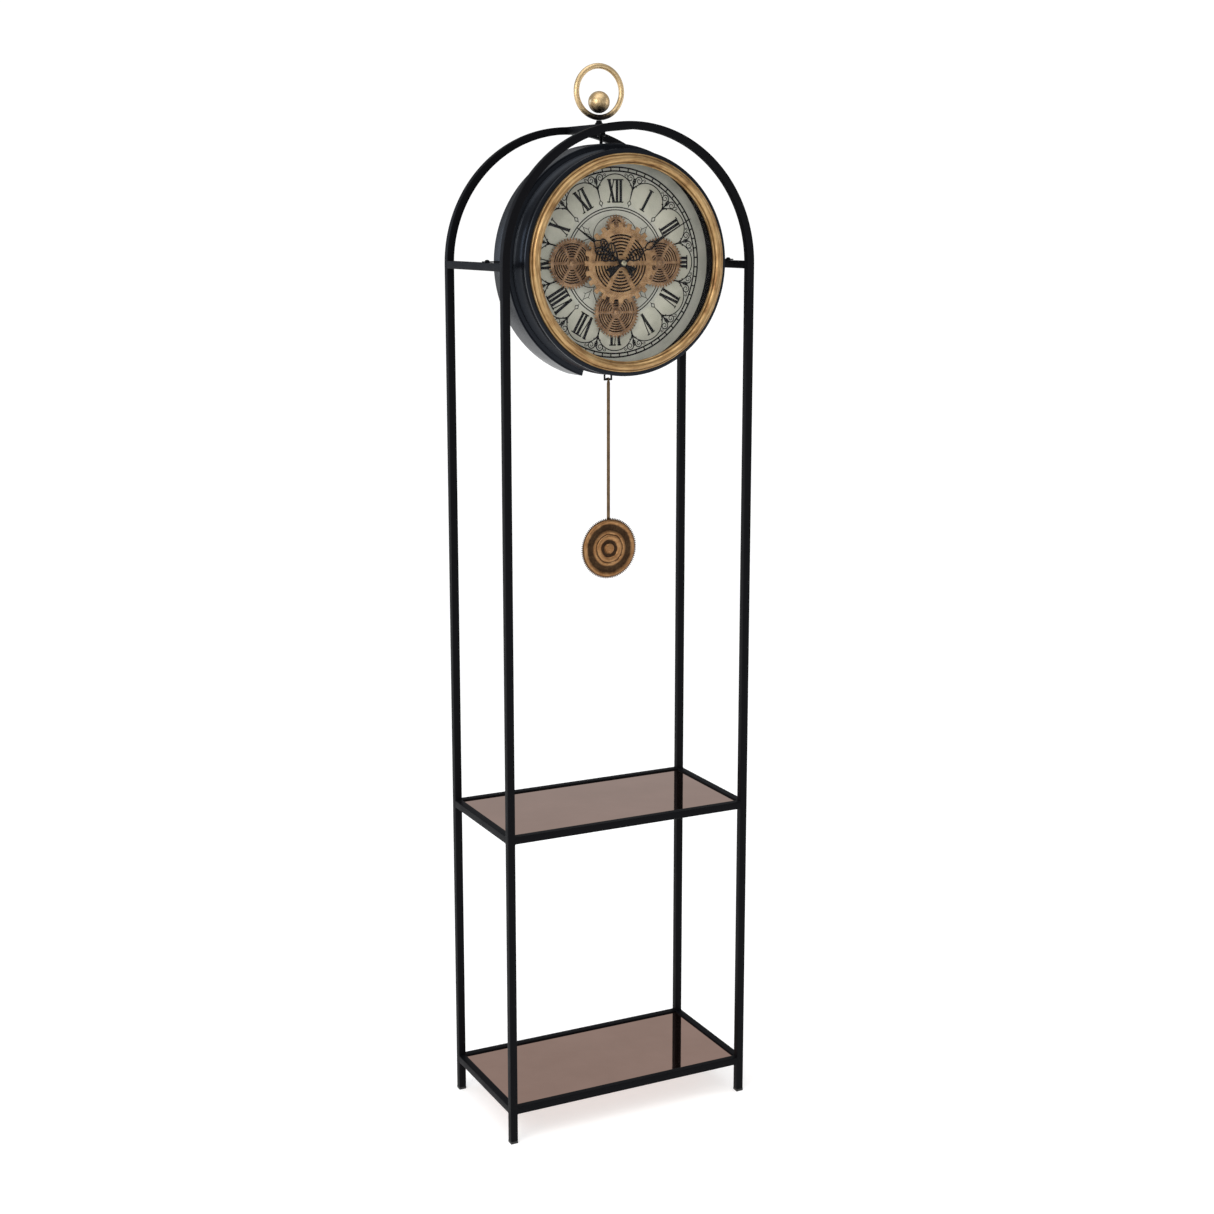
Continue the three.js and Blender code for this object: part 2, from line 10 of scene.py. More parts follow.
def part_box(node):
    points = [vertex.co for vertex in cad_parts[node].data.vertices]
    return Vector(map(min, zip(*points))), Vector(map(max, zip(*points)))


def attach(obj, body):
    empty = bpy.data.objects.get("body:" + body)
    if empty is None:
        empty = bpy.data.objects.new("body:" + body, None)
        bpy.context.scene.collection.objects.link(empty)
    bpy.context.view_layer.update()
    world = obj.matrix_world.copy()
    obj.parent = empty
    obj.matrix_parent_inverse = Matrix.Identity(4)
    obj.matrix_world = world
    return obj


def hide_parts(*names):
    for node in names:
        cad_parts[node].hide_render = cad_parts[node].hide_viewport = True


# Looks of an arched floor clock: satin black tube frame, round case with open gearwork,
# pendulum and two tinted mirror shelves. Lengths below are millimetres unless a name says
# otherwise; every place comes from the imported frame.

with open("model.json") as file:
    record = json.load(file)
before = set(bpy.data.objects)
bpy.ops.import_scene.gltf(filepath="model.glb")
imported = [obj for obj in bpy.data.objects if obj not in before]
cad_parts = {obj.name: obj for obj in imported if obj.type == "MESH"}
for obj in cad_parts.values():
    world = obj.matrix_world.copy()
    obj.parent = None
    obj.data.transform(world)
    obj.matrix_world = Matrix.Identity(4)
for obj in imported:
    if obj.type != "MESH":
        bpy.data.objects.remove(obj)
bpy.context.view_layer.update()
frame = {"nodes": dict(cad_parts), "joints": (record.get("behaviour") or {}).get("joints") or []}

MM = 0.001
TURN = 2 * math.pi
FINE = 192                      # steps in a full turn of the large round pieces
INK = 0.12                      # thickness of the printed ornament
random.seed(7)


# ---- places from the frame

def box(node):
    low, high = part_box(node)
    return low / MM, high / MM


def joint_place(name):
    joint = next(j for j in frame["joints"] if j["name"] == name)
    return Vector(joint["pos_m"]) / MM


DIAL = joint_place("minute_hand_turn")          # its x and z are the dial centre's
CENTRE_Z = DIAL.z
FACE_CENTRE = (0, 0, CENTRE_Z)
PINION_RISE = joint_place("upper_gear_turn").z - CENTRE_Z
DIAL_FACE = box("dial_plate")[0].y              # the dial's front, smallest y
BEZEL_OUTER = box("bezel_ring")[1].x
RIM_RADIUS = box("case_drum")[1].x - 1          # the drum flares 1 mm beyond its rim at the back
LINER = box("lens")[1].x + 1
BAND_RADIUS = box("rear_band")[1].x
BAND_OPENING = 18               # half angle in degrees, open at the bottom for the pendulum
TUBE = box("top_bridge")[1].x - box("top_bridge")[0].x


# ---- meshes

def finish_mesh(name, mesh, finish, body, replaces=(), origin=(0, 0, 0), sharp=35):
    """Makes a piece of a mesh whose coordinates are millimetres from origin."""
    mesh.transform(Matrix.Scale(MM, 4))
    made = bmesh.new()
    made.from_mesh(mesh)
    bmesh.ops.remove_doubles(made, verts=made.verts, dist=1e-6)
    bmesh.ops.recalc_face_normals(made, faces=made.faces)
    made.to_mesh(mesh)
    made.free()
    for face in mesh.polygons:
        face.use_smooth = True
    mesh.set_sharp_from_angle(angle=math.radians(sharp))
    mesh.materials.append(finish)
    piece = bpy.data.objects.new(name, mesh)
    bpy.context.scene.collection.objects.link(piece)
    piece.location = Vector(origin) * MM
    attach(piece, body)
    if replaces:
        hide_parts(*replaces)
    return piece


def joined(name, meshes):
    """One mesh holding several, each kept as its own closed shell."""
    made = bmesh.new()
    for mesh in meshes:
        made.from_mesh(mesh)
        bpy.data.meshes.remove(mesh)
    whole = bpy.data.meshes.new(name)
    made.to_mesh(whole)
    made.free()
    return whole


def rounded(corners, radius, closed=True, steps=3):
    """The outline with each corner replaced by a short curve."""
    points = [Vector(c) for c in corners]
    made = []
    for i, corner in enumerate(points):
        if not closed and i in (0, len(points) - 1):
            made.append(corner)
            continue
        before, after = points[i - 1], points[(i + 1) % len(points)]
        reach = min(radius, (corner - before).length * 0.45, (corner - after).length * 0.45)
        start = corner + (before - corner).normalized() * reach
        end = corner + (after - corner).normalized() * reach
        for k in range(steps + 1):
            t = k / steps
            made.append(start * (1 - t) ** 2 + corner * 2 * t * (1 - t) + end * t ** 2)
    return made


def skin(points, ring, rows, loop_ring=True, loop_rows=False):
    """Skin over rows of ring points each; rows that don't loop round get flat ends."""
    faces = []
    for i in range(rows if loop_rows else rows - 1):
        a, b = i * ring, ((i + 1) % rows) * ring
        for j in range(ring if loop_ring else ring - 1):
            k = (j + 1) % ring
            faces.append((a + j, a + k, b + k, b + j))
    if not loop_rows:
        faces.append(tuple(range(ring)))
        faces.append(tuple((rows - 1) * ring + j for j in range(ring)))
    mesh = bpy.data.meshes.new("skin")
    mesh.from_pydata([tuple(p) for p in points], [], faces)
    return mesh


def lathe(outline, steps=FINE, closed=True, start=0.0, sweep=TURN):
    """Turns an outline of (radius, y) about the Y axis."""
    whole = abs(sweep - TURN) < 1e-6
    rows = steps if whole else steps + 1
    points = []
    for i in range(rows):
        angle = start + sweep * i / steps
        for radius, y in outline:
            points.append((radius * math.cos(angle), y, radius * math.sin(angle)))
    return skin(points, len(outline), rows, closed, whole)


def upright(mesh):
    """Turns a lathed mesh so that its axis is vertical."""
    mesh.transform(Matrix.Rotation(math.pi / 2, 4, "X"))
    return mesh


def cut_sheet(loops, thickness, edge, front):
    """Sheet cut to loops of (x, z), with softened edges; its front face is at y = front."""
    curve = bpy.data.curves.new("cut", "CURVE")
    curve.dimensions = "2D"
    curve.fill_mode = "BOTH"
    curve.extrude = thickness / 2 - edge
    curve.bevel_depth = edge
    curve.bevel_resolution = 1
    curve.offset = -edge
    for loop in loops:
        spline = curve.splines.new("POLY")
        spline.points.add(len(loop) - 1)
        for point, (x, z) in zip(spline.points, loop):
            point.co = (x, z, 0, 1)
        spline.use_cyclic_u = True
    holder = bpy.data.objects.new("cut", curve)
    bpy.context.scene.collection.objects.link(holder)
    bpy.context.view_layer.update()
    shaped = holder.evaluated_get(bpy.context.evaluated_depsgraph_get())
    mesh = bpy.data.meshes.new_from_object(shaped)
    bpy.data.objects.remove(holder)
    bpy.data.curves.remove(curve)
    mesh.transform(Matrix.Translation((0, front + thickness / 2, 0)) @ Matrix.Rotation(math.pi / 2, 4, "X"))
    return mesh


def ribbon(points, widths, front, thickness, closed=False):
    """Flat stroke through points of (x, z); widths is one width, or one for each point."""
    line = [Vector(p) for p in points]
    count = len(line)
    wide = [widths] * count if isinstance(widths, (int, float)) else widths
    verts = []
    for i, here in enumerate(line):
        before = line[i - 1] if closed or i > 0 else here
        after = line[(i + 1) % count] if closed or i < count - 1 else here
        inward = (here - before).normalized() if here != before else (after - here).normalized()
        outward = (after - here).normalized() if after != here else inward
        along = (inward + outward).normalized()
        side = Vector((-along.y, along.x))
        stretch = 1 / max(0.5, along.dot(outward))
        half = wide[i] / 2 * stretch
        bevel = min(thickness * 0.35, half * 0.4)
        back = front + thickness
        for offset, y in ((half, back), (half, front + bevel), (half - bevel, front),
                          (bevel - half, front), (-half, front + bevel), (-half, back)):
            spot = here + side * offset
            verts.append((spot.x, y, spot.y))
    return skin(verts, 6, count, True, closed)


def polar(radius, clock_angle):
    """Point of the face at an angle in degrees clockwise from twelve."""
    angle = math.radians(clock_angle)
    return (radius * math.sin(angle), radius * math.cos(angle))


def arc(radius, start, end, steps, centre=(0, 0)):
    """Points of an arc; angles in degrees clockwise from twelve."""
    return [(centre[0] + radius * math.sin(math.radians(start + (end - start) * i / steps)),
             centre[1] + radius * math.cos(math.radians(start + (end - start) * i / steps)))
            for i in range(steps + 1)]


def circle(radius, steps=96, centre=(0, 0)):
    return arc(radius, 0, 360, steps, centre)[:-1]


def turned(points, clock_angle):
    """Points of the face turned clockwise about its centre."""
    angle = math.radians(clock_angle)
    c, s = math.cos(angle), math.sin(angle)
    return [(x * c + z * s, z * c - x * s) for x, z in points]


def smooth_line(knots, steps=6, closed=False):
    """Catmull-Rom curve through the knots."""
    line = [Vector(k) for k in knots]
    count = len(line)
    made = []
    for i in range(count if closed else count - 1):
        if closed:
            p0, p1, p2, p3 = (line[(i + k) % count] for k in (-1, 0, 1, 2))
        else:
            p0, p1, p2, p3 = (line[min(max(i + k, 0), count - 1)] for k in (-1, 0, 1, 2))
        for k in range(steps):
            t = k / steps
            made.append(0.5 * (2 * p1 + (p2 - p0) * t + (2 * p0 - 5 * p1 + 4 * p2 - p3) * t * t
                               + (3 * p1 - p0 - 3 * p2 + p3) * t ** 3))
    if not closed:
        made.append(line[-1])
    return made


# ---- materials

def node(tree, kind, inputs, **settings):
    made = tree.nodes.new("ShaderNode" + kind)
    for key, value in settings.items():
        setattr(made, key, value)
    for socket, value in inputs.items():
        if isinstance(value, bpy.types.NodeSocket):
            tree.links.new(value, made.inputs[socket])
        else:
            made.inputs[socket].default_value = value
    return made


def maths(tree, operation, a, b=0.0, c=0.5):
    return node(tree, "Math", {0: a, 1: b, 2: c}, operation=operation).outputs[0]


def blend(tree, *terms):
    """Sum of (value, weight) terms."""
    total = 0.0
    for value, weight in terms:
        total = maths(tree, "MULTIPLY_ADD", value, weight, total)
    return total


def axis_distance(tree, x, z):
    """Distance from the Y axis."""
    squares = maths(tree, "MULTIPLY_ADD", x, x, maths(tree, "MULTIPLY", z, z))
    return maths(tree, "SQRT", squares)


def noise(tree, where, scale, detail=4.0, roughness=0.55, distortion=0.0):
    return node(tree, "TexNoise", {
        "Vector": where, "Scale": scale, "Detail": detail, "Roughness": roughness,
        "Distortion": distortion}).outputs["Fac"]


def ramp(tree, value, stops):
    """Colours along a value; stops are (position, colour)."""
    made = node(tree, "ValToRGB", {"Fac": value})
    band = made.color_ramp
    while len(band.elements) < len(stops):
        band.elements.new(0.5)
    for element, (position, colour) in zip(band.elements, stops):
        element.position = position
        element.color = (*colour, 1)
    return made.outputs["Color"]


def spread(tree, value, low, high, to_low, to_high):
    return node(tree, "MapRange", {
        "Value": value, "From Min": low, "From Max": high, "To Min": to_low, "To Max": to_high,
    }).outputs["Result"]


def blend_colour(tree, factor, first, second):
    """From the first colour to the second as factor goes from 0 to 1; either may be a socket."""
    made = node(tree, "Mix", {}, data_type="RGBA")
    for socket, value in (("Factor_Float", factor), ("A_Color", first), ("B_Color", second)):
        target = next(i for i in made.inputs if i.identifier == socket)
        if isinstance(value, bpy.types.NodeSocket):
            tree.links.new(value, target)
        else:
            target.default_value = (*value, 1)
    return next(o for o in made.outputs if o.identifier == "Result_Color")


def bump(tree, height, strength, depth_mm):
    return node(tree, "Bump", {"Height": height, "Strength": strength,
                               "Distance": depth_mm * MM}).outputs["Normal"]


def shader_of(name, metallic=0.0, **sockets):
    """A new material, its node tree and its object coordinates."""
    material = bpy.data.materials.new(name)
    material.use_nodes = True
    tree = material.node_tree
    shader = tree.nodes["Principled BSDF"]
    shader.inputs["Metallic"].default_value = metallic
    for key, value in sockets.items():
        shader.inputs[key.replace("_", " ")].default_value = value
    return material, tree, tree.nodes.new("ShaderNodeTexCoord").outputs["Object"]


def coated(material, colour, roughness=None, normal=None):
    """The material, with what drives its colour, roughness and normal linked up."""
    tree = material.node_tree
    for socket, value in (("Base Color", colour), ("Roughness", roughness), ("Normal", normal)):
        if value is not None:
            tree.links.new(value, tree.nodes["Principled BSDF"].inputs[socket])
    return material


def painted_black(name, colour, lift, gloss, grain_mm, shine, tint=(1.0, 1.0, 1.0)):
    """Powder coat: fine orange peel, faint cloudiness and patchy gloss."""
    material, tree, where = shader_of(name, Specular_IOR_Level=shine, Specular_Tint=(*tint, 1))
    clouds = noise(tree, where, 22, 5)
    grain = noise(tree, where, 1 / (grain_mm * MM), 2)
    dust = noise(tree, where, 420, 3, 0.7)
    tone = ramp(tree, maths(tree, "MULTIPLY_ADD", dust, 0.35), [(0.0, colour), (1.0, lift)])
    tone = blend_colour(tree, spread(tree, clouds, 0.35, 0.65, 0.0, 0.6), tone, lift)
    rough = maths(tree, "ADD", spread(tree, clouds, 0.3, 0.7, gloss - 0.05, gloss + 0.06),
                  spread(tree, grain, 0.3, 0.7, -0.03, 0.03))
    return coated(material, tone, rough, bump(tree, grain, 0.25, 0.05))


def around(tree, where, turns, per_mm):
    """Coordinates that follow the circles about the Y axis, with no seam."""
    parts = node(tree, "SeparateXYZ", {"Vector": where})
    x, y, z = (parts.outputs[k] for k in "XYZ")
    radius = axis_distance(tree, x, z)
    depth = blend(tree, (radius, per_mm / MM), (y, 0.8 * per_mm / MM))
    return node(tree, "CombineXYZ", {
        "X": maths(tree, "MULTIPLY", maths(tree, "DIVIDE", x, radius), turns),
        "Y": maths(tree, "MULTIPLY", maths(tree, "DIVIDE", z, radius), turns),
        "Z": depth}).outputs["Vector"]


def rubbed_gold(name):
    """Antique gold rubbed over dark brown, streaked along the moulding."""
    material, tree, where = shader_of(name, metallic=0.82)
    streaks = noise(tree, around(tree, where, 5.0, 0.55), 1.0, 8, 0.68, 0.3)
    fine = noise(tree, around(tree, where, 16.0, 1.6), 1.0, 5, 0.7)
    cloud = noise(tree, where, 26, 4, 0.6)
    amount = blend(tree, (streaks, 0.55), (fine, 0.2), (cloud, 0.3))
    tone = ramp(tree, amount, [
        (0.36, (0.070, 0.032, 0.012)), (0.45, (0.24, 0.130, 0.052)),
        (0.53, (0.42, 0.265, 0.115)), (0.66, (0.62, 0.440, 0.225))])
    rough = spread(tree, amount, 0.35, 0.65, 0.47, 0.30)
    return coated(material, tone, rough, bump(tree, amount, 0.25, 0.12))


def gear_metal(name, dark, middle, light, metallic, patches):
    """Stamped plate with a matt plated finish, painted shade in the slots and beside the ridges, and rubbed
    high spots.
    """
    material, tree, where = shader_of(name, metallic=metallic)
    cloud = noise(tree, where, patches, 5, 0.62)
    speckle = noise(tree, where, 900, 3, 0.7)
    amount = blend(tree, (cloud, 0.75), (speckle, 0.25))
    tone = ramp(tree, amount, [(0.34, dark), (0.5, middle), (0.64, light)])
    # Painted shade: ambient occlusion pulls the tone towards the dark colour in slots and beside ridges.
    shade = node(tree, "AmbientOcclusion", {"Distance": 2.2 * MM}, samples=6, only_local=True).outputs["AO"]
    tone = blend_colour(tree, spread(tree, shade, 0.35, 0.9, 0.75, 0.0), tone, dark)
    rough = spread(tree, amount, 0.35, 0.65, 0.52, 0.36)
    return coated(material, tone, rough, bump(tree, speckle, 0.2, 0.06))


def champagne_gold(name, black_below, gold_above):
    """Brushed antique gold that fades to black towards the bottom, between two heights, in millimetres."""
    material, tree, where = shader_of(name, metallic=0.9)
    height = node(tree, "SeparateXYZ", {"Vector": where}).outputs["Z"]
    mottle = noise(tree, where, 240, 5, 0.65)
    stretched = node(tree, "Mapping", {"Vector": where, "Scale": (1.0, 1.0, 9.0)}).outputs["Vector"]
    brush = noise(tree, stretched, 120, 3, 0.5)
    amount = blend(tree, (mottle, 0.6), (brush, 0.4))
    gold = ramp(tree, amount, [(0.30, (0.50, 0.35, 0.175)), (0.5, (0.60, 0.44, 0.24)),
                               (0.70, (0.70, 0.545, 0.335))])
    uneven = maths(tree, "ADD", height, spread(tree, mottle, 0.3, 0.7, -3.5 * MM, 3.5 * MM))
    fade = spread(tree, uneven, black_below * MM, gold_above * MM, 0.0, 1.0)
    tone = blend_colour(tree, fade, (0.016, 0.013, 0.012), gold)
    rough = spread(tree, amount, 0.35, 0.65, 0.46, 0.32)
    return coated(material, tone, rough, bump(tree, brush, 0.15, 0.05))


def bronze(name, low, middle, high, recesses=()):
    """Cast bronze rubbed bright on its ridges, with a black wash left in its ring-shaped recesses."""
    material, tree, where = shader_of(name, metallic=0.92, Specular_IOR_Level=0.2)
    cloud = noise(tree, where, 60, 6, 0.65)
    speckle = noise(tree, where, 600, 4, 0.7)
    amount = blend(tree, (cloud, 0.55), (speckle, 0.45))
    tone = ramp(tree, amount, [(0.33, low), (0.47, middle), (0.64, high)])
    parts = node(tree, "SeparateXYZ", {"Vector": where}).outputs
    radius = axis_distance(tree, parts["X"], parts["Z"])
    uneven = maths(tree, "ADD", radius, spread(tree, cloud, 0.3, 0.7, -1.2 * MM, 1.2 * MM))
    for inner, outer, soft, most in recesses:
        rise = spread(tree, uneven, (inner - soft) * MM, (inner + soft) * MM, 0.0, 1.0)
        fall = spread(tree, uneven, (outer - soft) * MM, (outer + soft) * MM, 1.0, 0.0)
        wash = maths(tree, "MULTIPLY", maths(tree, "MULTIPLY", rise, fall),
                     spread(tree, speckle, 0.25, 0.6, most, 0.86 * most))
        tone = blend_colour(tree, wash, tone, (0.010, 0.007, 0.006))
    rough = spread(tree, amount, 0.35, 0.65, 0.46, 0.30)
    return coated(material, tone, rough, bump(tree, speckle, 0.2, 0.06))


def dial_paper(name, low, high):
    """Matt printed card with a mottled, slightly aged tone."""
    material, tree, where = shader_of(name, Specular_IOR_Level=0.25)
    mottle = noise(tree, where, 38, 6, 0.7, 0.6)
    fibre = noise(tree, where, 950, 3, 0.8)
    amount = blend(tree, (mottle, 0.7), (fibre, 0.3))
    tone = ramp(tree, amount, [(0.35, low), (0.62, high)])
    return coated(material, tone, spread(tree, fibre, 0.3, 0.7, 0.55, 0.7), bump(tree, fibre, 0.1, 0.03))


def printed_ink(name):
    material, tree, where = shader_of(name, Specular_IOR_Level=0.15)
    wear = noise(tree, where, 520, 4, 0.75)
    tone = ramp(tree, wear, [(0.3, (0.003, 0.003, 0.0045)), (0.75, (0.012, 0.0115, 0.014))])
    return coated(material, tone, spread(tree, wear, 0.3, 0.7, 0.42, 0.6), bump(tree, wear, 0.1, 0.02))


def mirror_glass(name, deep, pale):
    """Bronze-tinted mirror: near-smooth, with a faint haze and a few dust specks."""
    material, tree, where = shader_of(name, metallic=1.0, Coat_Weight=0.35, Coat_Roughness=0.02)
    haze = noise(tree, where, 9, 4, 0.6)
    dust = noise(tree, where, 850, 2, 0.6)
    tone = ramp(tree, haze, [(0.3, deep), (0.7, pale)])
    rough = maths(tree, "ADD", spread(tree, haze, 0.3, 0.7, 0.015, 0.05),
                  spread(tree, dust, 0.68, 0.8, 0.0, 0.12))
    return coated(material, tone, rough)


def clear_pane(name):
    """Thin clear glass that lets the lamps through to the dial."""
    material, tree, where = shader_of(name, Transmission_Weight=1.0, IOR=1.16, Roughness=0.0)
    smear = noise(tree, where, 12, 3, 0.5)
    through = node(tree, "BsdfTransparent", {"Color": (0.97, 0.98, 0.98, 1)})
    path = tree.nodes.new("ShaderNodeLightPath")
    mixed = node(tree, "MixShader", {
        0: path.outputs["Is Shadow Ray"], 1: tree.nodes["Principled BSDF"].outputs[0], 2: through.outputs[0]})
    tree.links.new(mixed.outputs[0], tree.nodes["Material Output"].inputs["Surface"])
    return coated(material, ramp(tree, smear, [(0.3, (0.985, 0.99, 0.99)), (0.7, (1, 1, 1))]))


def moulded_plastic(name, colour, lift, rough_mid):
    material, tree, where = shader_of(name, Specular_IOR_Level=0.5)
    texture = noise(tree, where, 1500, 2, 0.6)
    flow = noise(tree, where, 60, 4, 0.6)
    tone = ramp(tree, flow, [(0.3, colour), (0.7, lift)])
    return coated(material, tone, spread(tree, flow, 0.3, 0.7, rough_mid - 0.06, rough_mid + 0.06),
                  bump(tree, texture, 0.35, 0.05))


def bright_metal(name, low, high, rough_mid):
    material, tree, where = shader_of(name, metallic=1.0)
    rings = noise(tree, around(tree, where, 2.0, 5.0), 1.0, 4, 0.6)
    tone = ramp(tree, rings, [(0.3, low), (0.7, high)])
    return coated(material, tone, spread(tree, rings, 0.3, 0.7, rough_mid - 0.06, rough_mid + 0.08),
                  bump(tree, rings, 0.1, 0.02))


def cell_wrapper(name):
    """Plain foil wrap: dark body with a copper-coloured band at the top end."""
    material, tree, where = shader_of(name, metallic=0.55, Roughness=0.3)
    height = node(tree, "SeparateXYZ", {"Vector": where}).outputs["Z"]
    smear = noise(tree, where, 90, 4, 0.6)
    band = spread(tree, height, 10.8 * MM, 11.2 * MM, 0.0, 1.0)
    tone = blend_colour(tree, band, (0.035, 0.038, 0.042), (0.42, 0.22, 0.10))
    return coated(material, tone, spread(tree, smear, 0.3, 0.7, 0.25, 0.38), bump(tree, smear, 0.08, 0.05))


STEEL = painted_black("satin_black_coat", (0.0016, 0.0016, 0.0022), (0.0036, 0.0037, 0.0049), 0.50, 0.6, 0.06)
CASE = painted_black("satin_case_paint", (0.0016, 0.0018, 0.0026), (0.0034, 0.0040, 0.0058), 0.27, 1.2, 0.26,
                     (0.74, 0.84, 1.0))
HAND = painted_black("black_hand_paint", (0.0015, 0.0015, 0.0018), (0.004, 0.004, 0.0045), 0.45, 0.6, 0.12)
HANGER = painted_black("black_strip_paint", (0.002, 0.002, 0.0024), (0.005, 0.005, 0.0055), 0.40, 0.8, 0.16)
BEZEL = rubbed_gold("rubbed_antique_gold")
GEAR_GOLD = gear_metal("matt_gear_gold", (0.105, 0.056, 0.025), (0.29, 0.168, 0.078),
                       (0.40, 0.252, 0.125), 0.50, 60)
GEAR_COPPER = gear_metal("dull_gear_copper", (0.075, 0.038, 0.018), (0.235, 0.135, 0.070),
                         (0.36, 0.225, 0.125), 0.50, 85)
RING_GOLD = champagne_gold("champagne_ring_gold", -40, -28)
BALL_GOLD = champagne_gold("champagne_ball_gold", -14, 1)
MATT = painted_black("matt_liner_black", (0.0015, 0.0015, 0.0018), (0.0035, 0.0035, 0.004), 0.8, 0.6, 0.02)
# Painted shade: a black sheet behind the gear slots stands for the shade between gear and dial.
PAINTED_SLOT_SHADE = painted_black("painted_slot_shade", (0.0030, 0.0020, 0.0015), (0.0075, 0.0050, 0.0040),
                          0.75, 0.5, 0.04)
BRONZE = bronze("aged_bronze", (0.060, 0.036, 0.019), (0.125, 0.080, 0.045), (0.22, 0.148, 0.085))
BOB_BRONZE = bronze("aged_bob_bronze", (0.13, 0.056, 0.021), (0.30, 0.150, 0.062), (0.47, 0.27, 0.125),
                    ((9.1, 15.5, 0.4, 0.99), (24.2, 26.1, 0.4, 0.9), (30.7, 42.9, 1.6, 0.97),
                     (49.2, 63.5, 0.8, 0.8)))
CARD = dial_paper("cream_dial_card", (0.36, 0.36, 0.31), (0.45, 0.448, 0.39))
PETAL = dial_paper("ivory_petal_print", (0.37, 0.366, 0.30), (0.46, 0.453, 0.38))
PRINT = printed_ink("black_dial_ink")
MIRROR = mirror_glass("bronze_mirror_glass", (0.60, 0.365, 0.275), (0.67, 0.415, 0.32))
PANE = clear_pane("clear_lens_glass")
PLASTIC = moulded_plastic("black_moulded_plastic", (0.014, 0.014, 0.015), (0.026, 0.026, 0.028), 0.42)
RUBBER = moulded_plastic("black_foot_rubber", (0.012, 0.012, 0.012), (0.022, 0.022, 0.022), 0.65)
CELL = cell_wrapper("plain_cell_wrap")
BRIGHT = bright_metal("bright_turned_metal", (0.20, 0.185, 0.13), (0.42, 0.39, 0.29), 0.30)
ZINC = bright_metal("zinc_screw_metal", (0.30, 0.29, 0.28), (0.52, 0.51, 0.49), 0.34)


def dress(node_name, finish, bevel_mm=0.0, segments=2):
    """Keeps a CAD node as it is, with a finish and softened edges."""
    piece = frame["nodes"][node_name]
    piece.data.materials.clear()
    piece.data.materials.append(finish)
    if bevel_mm:
        bevel = piece.modifiers.new("edges", "BEVEL")
        bevel.width = bevel_mm * MM
        bevel.segments = segments
        bevel.limit_method = "ANGLE"
        bevel.angle_limit = math.radians(40)
        bevel.harden_normals = True
    return piece


# ---- frame

CORNER = 0.9                    # outside corner radius of the square tube


def tube_section(half_a, half_b, corner=CORNER, steps=4):
    """Rounded rectangle of (a, b), corner arcs included."""
    points = []
    for index, (sign_a, sign_b) in enumerate(((1, 1), (-1, 1), (-1, -1), (1, -1))):
        for k in range(steps + 1):
            angle = math.pi / 2 * (index + k / steps)
            points.append((sign_a * (half_a - corner) + corner * math.cos(angle),
                           sign_b * (half_b - corner) + corner * math.sin(angle)))
    return points


def swept(sections):
    """Skin over a list of closed rings of points, with flat ends."""
    return skin([p for section in sections for p in section], len(sections[0]), len(sections))


def straight_bar(node_name, axis):
    """Square tube in the place of a CAD bar that runs along one axis."""
    low, high = box(node_name)
    middle = (low + high) / 2
    a, b = [k for k in range(3) if k != axis]
    section = tube_section((high[a] - low[a]) / 2, (high[b] - low[b]) / 2)
    cuts = 9
    rings = []
    for i in range(cuts):
        ring = []
        for offset_a, offset_b in section:
            point = [0.0, 0.0, 0.0]
            point[axis] = low[axis] + (high[axis] - low[axis]) * i / (cuts - 1) - middle[axis]
            point[a], point[b] = offset_a, offset_b
            ring.append(point)
        rings.append(ring)
    return finish_mesh(node_name + "_tube", swept(rings), STEEL, "stand",
                       [node_name], middle)


def arch_tube(end):
    """Half circle of square tube over the front or rear legs."""
    node_name = f"{end}_arch"
    low, high = box(node_name)
    middle_y = (low.y + high.y) / 2
    radius = (high.x - low.x) / 2 - TUBE / 2
    steps = 96
    rings = []
    for i in range(steps + 1):
        angle = math.pi * i / steps
        rings.append([((radius + a) * math.cos(angle), b, (radius + a) * math.sin(angle))
                      for a, b in tube_section(TUBE / 2, TUBE / 2)])
    return finish_mesh(node_name + "_tube", swept(rings), STEEL, "stand",
                       [node_name], (0, middle_y, low.z))


def weld_bead(centre, axis, half_a, half_b):
    """Painted fillet weld round the end of a bar, wavy inside and ground flush outside."""
    flush = box("rear_right_leg")[1] - Vector((0.05, 0.05, 0))
    a, b = [k for k in range(3) if k != axis]
    ring_points = tube_section(half_a, half_b, CORNER, 6)
    wire, around_steps = 1.0, 8
    points = []
    for index, (offset_a, offset_b) in enumerate(ring_points):
        thick = wire * (1 + 0.12 * math.sin(index * 2.3) + random.uniform(-0.06, 0.06))
        outward = Vector((offset_a, offset_b)).normalized()
        for k in range(around_steps):
            angle = TURN * k / around_steps
            point = [0.0, 0.0, 0.0]
            point[axis] = thick * 0.8 * math.sin(angle)
            point[a] = offset_a + outward.x * thick * 0.55 * math.cos(angle)
            point[b] = offset_b + outward.y * thick * 0.55 * math.cos(angle)
            place = Vector(point) + Vector(centre)
            place.x = max(-flush.x, min(flush.x, place.x))
            place.y = max(-flush.y, min(flush.y, place.y))
            points.append(place)
    return skin(points, around_steps, len(ring_points), True, True)


def build_frame():
    bars = []
    for end in ("front", "rear"):
        arch_tube(end)
        for side in ("left", "right"):
            straight_bar(f"{end}_{side}_leg", 2)
            dress(f"{end}_{side}_foot_cap", RUBBER, 0.6)
    for level in ("middle", "lower"):
        for end in ("front", "rear"):
            bars.append((f"{level}_{end}_rail", 0))
        for side in ("left", "right"):
            bars.append((f"{level}_{side}_rail", 1))
    bars += [("left_side_bar", 1), ("right_side_bar", 1), ("top_bridge", 1)]
    beads = []
    for node_name, axis in bars:
        straight_bar(node_name, axis)
        low, high = box(node_name)
        middle = (low + high) / 2
        half = (high - low) / 2
        a, b = [k for k in range(3) if k != axis]
        for place in (low[axis], high[axis]):
            centre = middle.copy()
            centre[axis] = place
            if node_name != "top_bridge":
                beads.append(weld_bead(centre, axis, half[a], half[b]))
    finish_mesh("frame_welds", joined("frame_welds", beads), STEEL, "stand")


